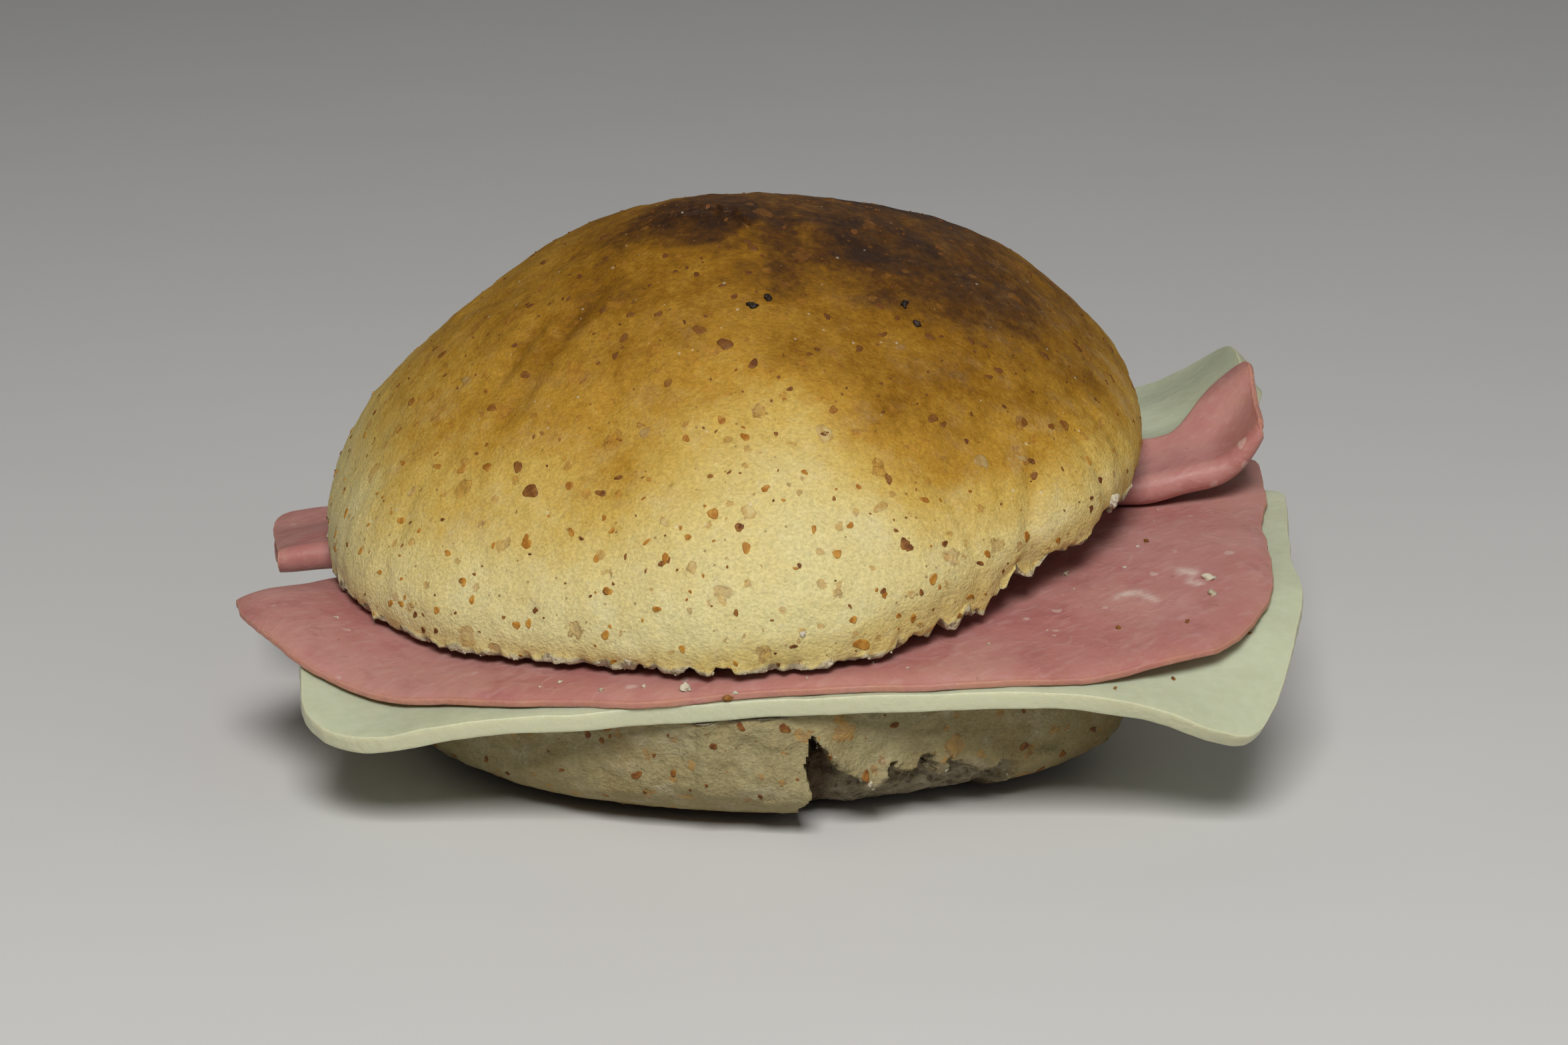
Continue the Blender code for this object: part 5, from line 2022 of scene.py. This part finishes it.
HAM_SEAMS = (
    (Spot(1677, 896), Spot(1692, 890), 7.0),
    (Spot(1692, 890), Spot(1712, 890), 6.0),
    (Spot(1712, 890), Spot(1734, 901), 5.0),
    (Spot(1772, 857), Spot(1790, 860), 8.0),
    (Spot(1785, 872), Spot(1800, 876), 6.0),
)


# Assembly


def mesh_points(thing: Thing) -> Array:
    """Layout positions of a piece's points.

    Args:
        thing: The piece.

    Returns:
        One row for each point.
    """
    flat = np.zeros(len(thing.data.vertices) * 3)
    thing.data.vertices.foreach_get("co", flat)
    return flat.reshape(-1, 3) / MM - SHIFT


def mesh_mark(thing: Thing, name: str) -> Array:
    """Values of one of a piece's attributes.

    Args:
        thing: The piece.
        name: Name of the attribute.

    Returns:
        One value for each point.
    """
    values = np.zeros(len(thing.data.vertices), dtype=np.float32)
    thing.data.attributes[name].data.foreach_get("value", values)
    return values


def from_crown(thing: Thing) -> Array:
    """Distance of a piece's points from the crown's middle, as seen from above."""
    points = mesh_points(thing)
    return np.hypot(points[:, 0] - Crown.centre[0], points[:, 1] - Crown.centre[1])


def facing_up(thing: Thing) -> Array:
    """1 at the points whose surface faces up, 0 elsewhere.

    Args:
        thing: The piece.

    Returns:
        One value for each point.
    """
    flat = np.zeros(len(thing.data.vertices) * 3, dtype=np.float32)
    thing.data.vertex_normals.foreach_get("vector", flat)
    return smooth((flat.reshape(-1, 3)[:, 2] - 0.5) / 0.3)


@dataclass
class FilledRoll:
    """The whole roll: builds each piece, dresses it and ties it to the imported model."""

    filling: Filling = field(default_factory=Filling)
    seam_flatness: float = 1.6

    def keep(self, thing: Thing, slot: Slot, finish: bpy.types.Material | None,
             *nodes: str) -> None:
        """Dresses a piece, ties it to the root body and logs it.

        Args:
            thing: The piece.
            slot: Its material slot; not used.
            finish: Its material, or none where it has one already.
            nodes: The nodes that it replaces.
        """
        if finish is not None:
            thing.data.materials.clear()
            thing.data.materials.append(finish)
        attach(thing, "root")
        if nodes:
            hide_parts(*nodes)
        LOG.info("%s: %d faces", thing.name, len(thing.data.polygons))

    def trimmed(self, x: Array, y: Array, reach: Array) -> tuple[Array, Array]:
        """Trims the back left of the lower ham to a straight edge that ends in a tip.

        Args:
            x: Places across.
            y: Places towards the back.
            reach: Share of the way out to the slice's edge.

        Returns:
            The places after the trim.
        """
        at_x, at_y = self.filling.ham_lower.x, self.filling.ham_lower.y
        limit = -float(self.filling.past_trim(np.array(at_x), np.array(at_y)))
        out = (self.filling.past_trim(x, y) + limit) / np.maximum(reach, 1e-6)
        shrink = np.minimum(limit / np.maximum(out, 1e-6), 1.0)
        x, y = at_x + (x - at_x) * shrink, at_y + (y - at_y) * shrink
        return self.filling.flared(x, y), y

    def slices(self) -> list[Thing]:
        """Builds and dresses the two cheeses and the two hams, and returns them from the bottom up.

        Returns:
            The four pieces.
        """
        fill = self.filling
        draw = fill.corner_draw
        lower_cheese = FlatSlice(
            "cheese_front", fill.cheese_lower, fill.cheese_t, fill.cheese_lower_base,
            lambda x, y, _: (fill.flared(x - draw * np.sign(x) * fill.droop(x, y), y), y),
            0.15, 12, 0.06, feather=0.04)
        lower_ham = FlatSlice(
            "ham_front", fill.ham_lower, fill.ham_t, fill.ham_lower_base, self.trimmed,
            0.25, 9, 0.14, swell=0.10, feather=0.45, settle=0.28)
        upper_cheese = FlatSlice(
            "cheese_back", fill.cheese_upper, fill.cheese_t, fill.cheese_upper_base,
            lambda x, y, _: (x, y + fill.skewed(x)), 0.15, 12, 0.06)
        cheese, ham = CheeseFinish("pale_cheese").make(), HamFinish("pink_ham").make()
        made = [lower_cheese.build(), lower_ham.build(), upper_cheese.build(), FoldedSlice(fill).build()]
        self.keep(made[0], Slot.CHEESE, cheese, "cheese_lower")
        self.keep(made[1], Slot.HAM, ham, "ham_lower")
        self.keep(made[2], Slot.CHEESE, cheese, "cheese_upper")
        self.keep(made[3], Slot.HAM, ham, "ham_upper")
        return made

    def seams(self, ham: Thing) -> None:
        """Marks the fat that is seen in the ham: pale streaks and patches.

        Args:
            ham: The ham slice.
        """
        across, down = Lens().pixels(mesh_points(ham))
        fat = np.zeros_like(across)
        for start, end, width in HAM_SEAMS:
            beside, below = off_line(across, down, (start.across, start.down), (end.across, end.down))
            fat = np.maximum(fat, bell(np.hypot(beside, below * self.seam_flatness), 0.0, width))
        set_mark(ham.data, "fat", fat)

    def scatter(self, crown: Thing, heel: Thing, ham: Thing,
                cheese: Thing) -> None:
        """Lays the bran flakes, seeds and crumbs: first those that are seen, then a few between them.

        Args:
            crown: The crown.
            heel: The lower half.
            ham: The lower ham.
            cheese: The lower cheese.
        """
        on_crown, on_heel, on_ham, on_cheese = (Surface(thing) for thing in (crown, heel, ham, cheese))
        amber = BitFinish("amber_bran", (0.33, 0.125, 0.012), (0.50, 0.25, 0.040), 0.50, 1.2).make()
        husk = BitFinish("dark_husk", (0.13, 0.042, 0.010), (0.27, 0.115, 0.022), 0.50, 1.0,
                         browned=0.7).make()
        pale = BitFinish("pale_bran", (0.44, 0.27, 0.075), (0.58, 0.45, 0.19), 0.60, 1.2,
                         (0.25, 0.125, 0.030)).make()
        seed = BitFinish("burnt_seed", (0.016, 0.010, 0.007), (0.042, 0.022, 0.012), 0.45, browned=0.0).make()
        bread = BitFinish("bread_crumb", (0.42, 0.355, 0.235), (0.58, 0.53, 0.41), 0.85, browned=0.0).make()
        seen = (
            ("amber_on_crown", True, AMBER_FLAKES, on_crown, amber, Slot.CROWN),
            ("husk_on_crown", True, DARK_FLAKES, on_crown, husk, Slot.CROWN),
            ("pale_on_crown", True, PALE_FLAKES, on_crown, pale, Slot.CROWN),
            ("seeds_on_crown", False, BURNT_SEEDS, on_crown, seed, Slot.CROWN),
            ("tufts_on_crown", False, CROWN_TUFTS, on_crown, bread, Slot.CROWN),
            ("flakes_on_heel", True, HEEL_FLAKES, on_heel, husk, Slot.HEEL),
            ("crumbs_on_ham", False, HAM_CRUMBS, on_ham, bread, Slot.HEEL),
            ("husk_on_ham", False, HAM_HUSKS, on_ham, husk, Slot.HEEL),
            ("husk_on_cheese", False, CHEESE_HUSKS, on_cheese, husk, Slot.HEEL),
        )
        for name, flat, places, surface, finish, slot in seen:
            self.keep(SeenBits(name, flat, places).build(surface), slot, finish)
        bits = Bits()
        flakes, grains = bits.models("flake", True, 6), bits.models("crumb", False, 5)
        crust_skin = (1.0 - mesh_mark(crown, "crumb")) * (1.0 - mesh_mark(crown, "crack"))
        heel_skin = (1.0 - mesh_mark(heel, "crumb")) * rise(mesh_points(heel)[:, 2], (0.5, 2.0))
        rim = mesh_mark(crown, "crumb") * rise(from_crown(crown), (46.0, 3.0))
        frill, beside = mesh_mark(heel, "frill"), from_crown(ham)
        near = facing_up(ham) * (beside > 50.0) * bell(beside, 52.0, 3.0)
        strewn = (
            ("amber_between", amber, on_crown, crust_skin, flakes, 2.2, (0.4, 1.5), Slot.CROWN),
            ("husk_between", husk, on_crown, crust_skin, flakes, 2.6, (0.3, 0.8), Slot.CROWN),
            ("husk_on_heel", husk, on_heel, heel_skin, flakes, 2.4, (0.4, 1.7), Slot.HEEL),
            ("crumbs_on_heel", bread, on_heel, frill, grains, 60.0, (0.25, 1.1), Slot.HEEL),
            ("crumbs_on_rim", bread, on_crown, rim, grains, 34.0, (0.2, 0.9), Slot.CROWN),
            ("crumbs_between", bread, on_ham, near, grains, 1.6, (0.2, 0.6), Slot.HEEL),
        )
        for number, (name, finish, surface, weight, kinds, density, sizes, slot) in enumerate(strewn):
            thing = Scatter(name, finish).strew(surface, weight, kinds, density, STREW_SEED + number, sizes)
            self.keep(thing, slot, None)
        bits.clear(flakes)
        bits.clear(grains)

    def build(self) -> None:
        """Builds the whole roll."""
        crown = Crown(self.filling).build()
        self.keep(crown, Slot.CROWN, CrustFinish("golden_crust", CROWN_STOPS).make(), "crown")
        heel = Heel(self.filling).build()
        # The heel's crumb, pore and flour colours are darker copies of the crown's: painted shade under the
        # filling
        pale = CrustFinish("pale_crust", HEEL_STOPS, flour_share=0.85, roughness=0.72, skin_bump=0.30,
                           flour=(0.50, 0.46, 0.335), crumb=(0.320, 0.275, 0.185),
                           crumb_shade=(0.23, 0.185, 0.115), pore=(0.10, 0.075, 0.045))
        self.keep(heel, Slot.HEEL, pale.make(), "heel")
        cheese, ham, _, _ = self.slices()
        self.seams(ham)
        self.scatter(crown, heel, ham, cheese)


@dataclass
class Studio:
    """Pale floor, soft lights and the camera."""

    view: Lens = Lens()
    focal_length: float = 94.06
    sensor: float = 36.0
    floor_size: float = 6.0
    world_strength: float = 0.07

    def floor(self) -> None:
        """Lays the pale floor."""
        half = self.floor_size / 2.0
        mesh = bpy.data.meshes.new("floor")
        mesh.from_pydata([(-half, -half, 0.0), (half, -half, 0.0), (half, half, 0.0), (-half, half, 0.0)],
                         [], [(0, 1, 2, 3)])
        ground = bpy.data.objects.new("floor", mesh)
        bpy.context.scene.collection.objects.link(ground)
        r = Recipe("pale_floor")
        shade = r.mix(r.spots(60.0, 2.0), (0.66, 0.655, 0.645), (0.69, 0.685, 0.675))
        mesh.materials.append(r.finish({"Base Color": shade, "Roughness": 0.7}))

    def light(self, name: str, where: tuple[float, float, float], power: float, size: float,
              colour: Colour = (1.0, 1.0, 1.0)) -> None:
        """Hangs one soft square light that points at the roll.

        Args:
            name: Name of the light.
            where: Its position in metres.
            power: Its power in watts.
            size: Its side in metres.
            colour: Its colour.
        """
        data = bpy.data.lights.new(name, "AREA")
        data.energy = power
        data.size = size
        data.color = colour
        lamp = bpy.data.objects.new(name, data)
        lamp.location = where
        towards = Vector((0.0, 0.0, self.view.aim[2] * MM)) - lamp.location
        lamp.rotation_euler = towards.to_track_quat("-Z", "Y").to_euler()
        bpy.context.scene.collection.objects.link(lamp)

    def camera(self) -> None:
        """Sets the camera at the viewing angle of the front view."""
        data = bpy.data.cameras.new("front")
        data.lens = self.focal_length
        data.sensor_width = self.sensor
        data.clip_start = 0.01
        eye = bpy.data.objects.new("front", data)
        eye.location = to_frame(self.view.eye()).tolist()
        eye.rotation_euler = (math.pi / 2.0 - self.view.elevation, 0.0, 0.0)
        bpy.context.scene.collection.objects.link(eye)
        bpy.context.scene.camera = eye

    def world(self) -> None:
        """Fills the surroundings with soft even light."""
        surroundings = bpy.data.worlds.new("soft_room")
        surroundings.use_nodes = True
        back = surroundings.node_tree.nodes["Background"]
        back.inputs["Color"].default_value = (0.95, 0.97, 1.0, 1.0)
        back.inputs["Strength"].default_value = self.world_strength
        bpy.context.scene.world = surroundings

    def set_up(self) -> None:
        """Sets up the whole studio."""
        self.floor()
        self.world()
        self.light("key", (-0.02, -0.80, 0.80), 11.0, 0.40, (1.0, 0.985, 0.955))
        self.light("fill", (0.85, -0.55, 0.55), 1.0, 0.9)
        self.light("back", (0.2, 0.9, 0.7), 0.6, 0.8)
        self.camera()
        view = bpy.context.scene.view_settings
        view.view_transform = "Standard"
        view.look = "None"


def main() -> None:
    """Builds the roll and the studio."""
    logging.basicConfig(level=logging.INFO)
    FilledRoll().build()
    Studio().set_up()


if __name__ == "__main__":
    main()
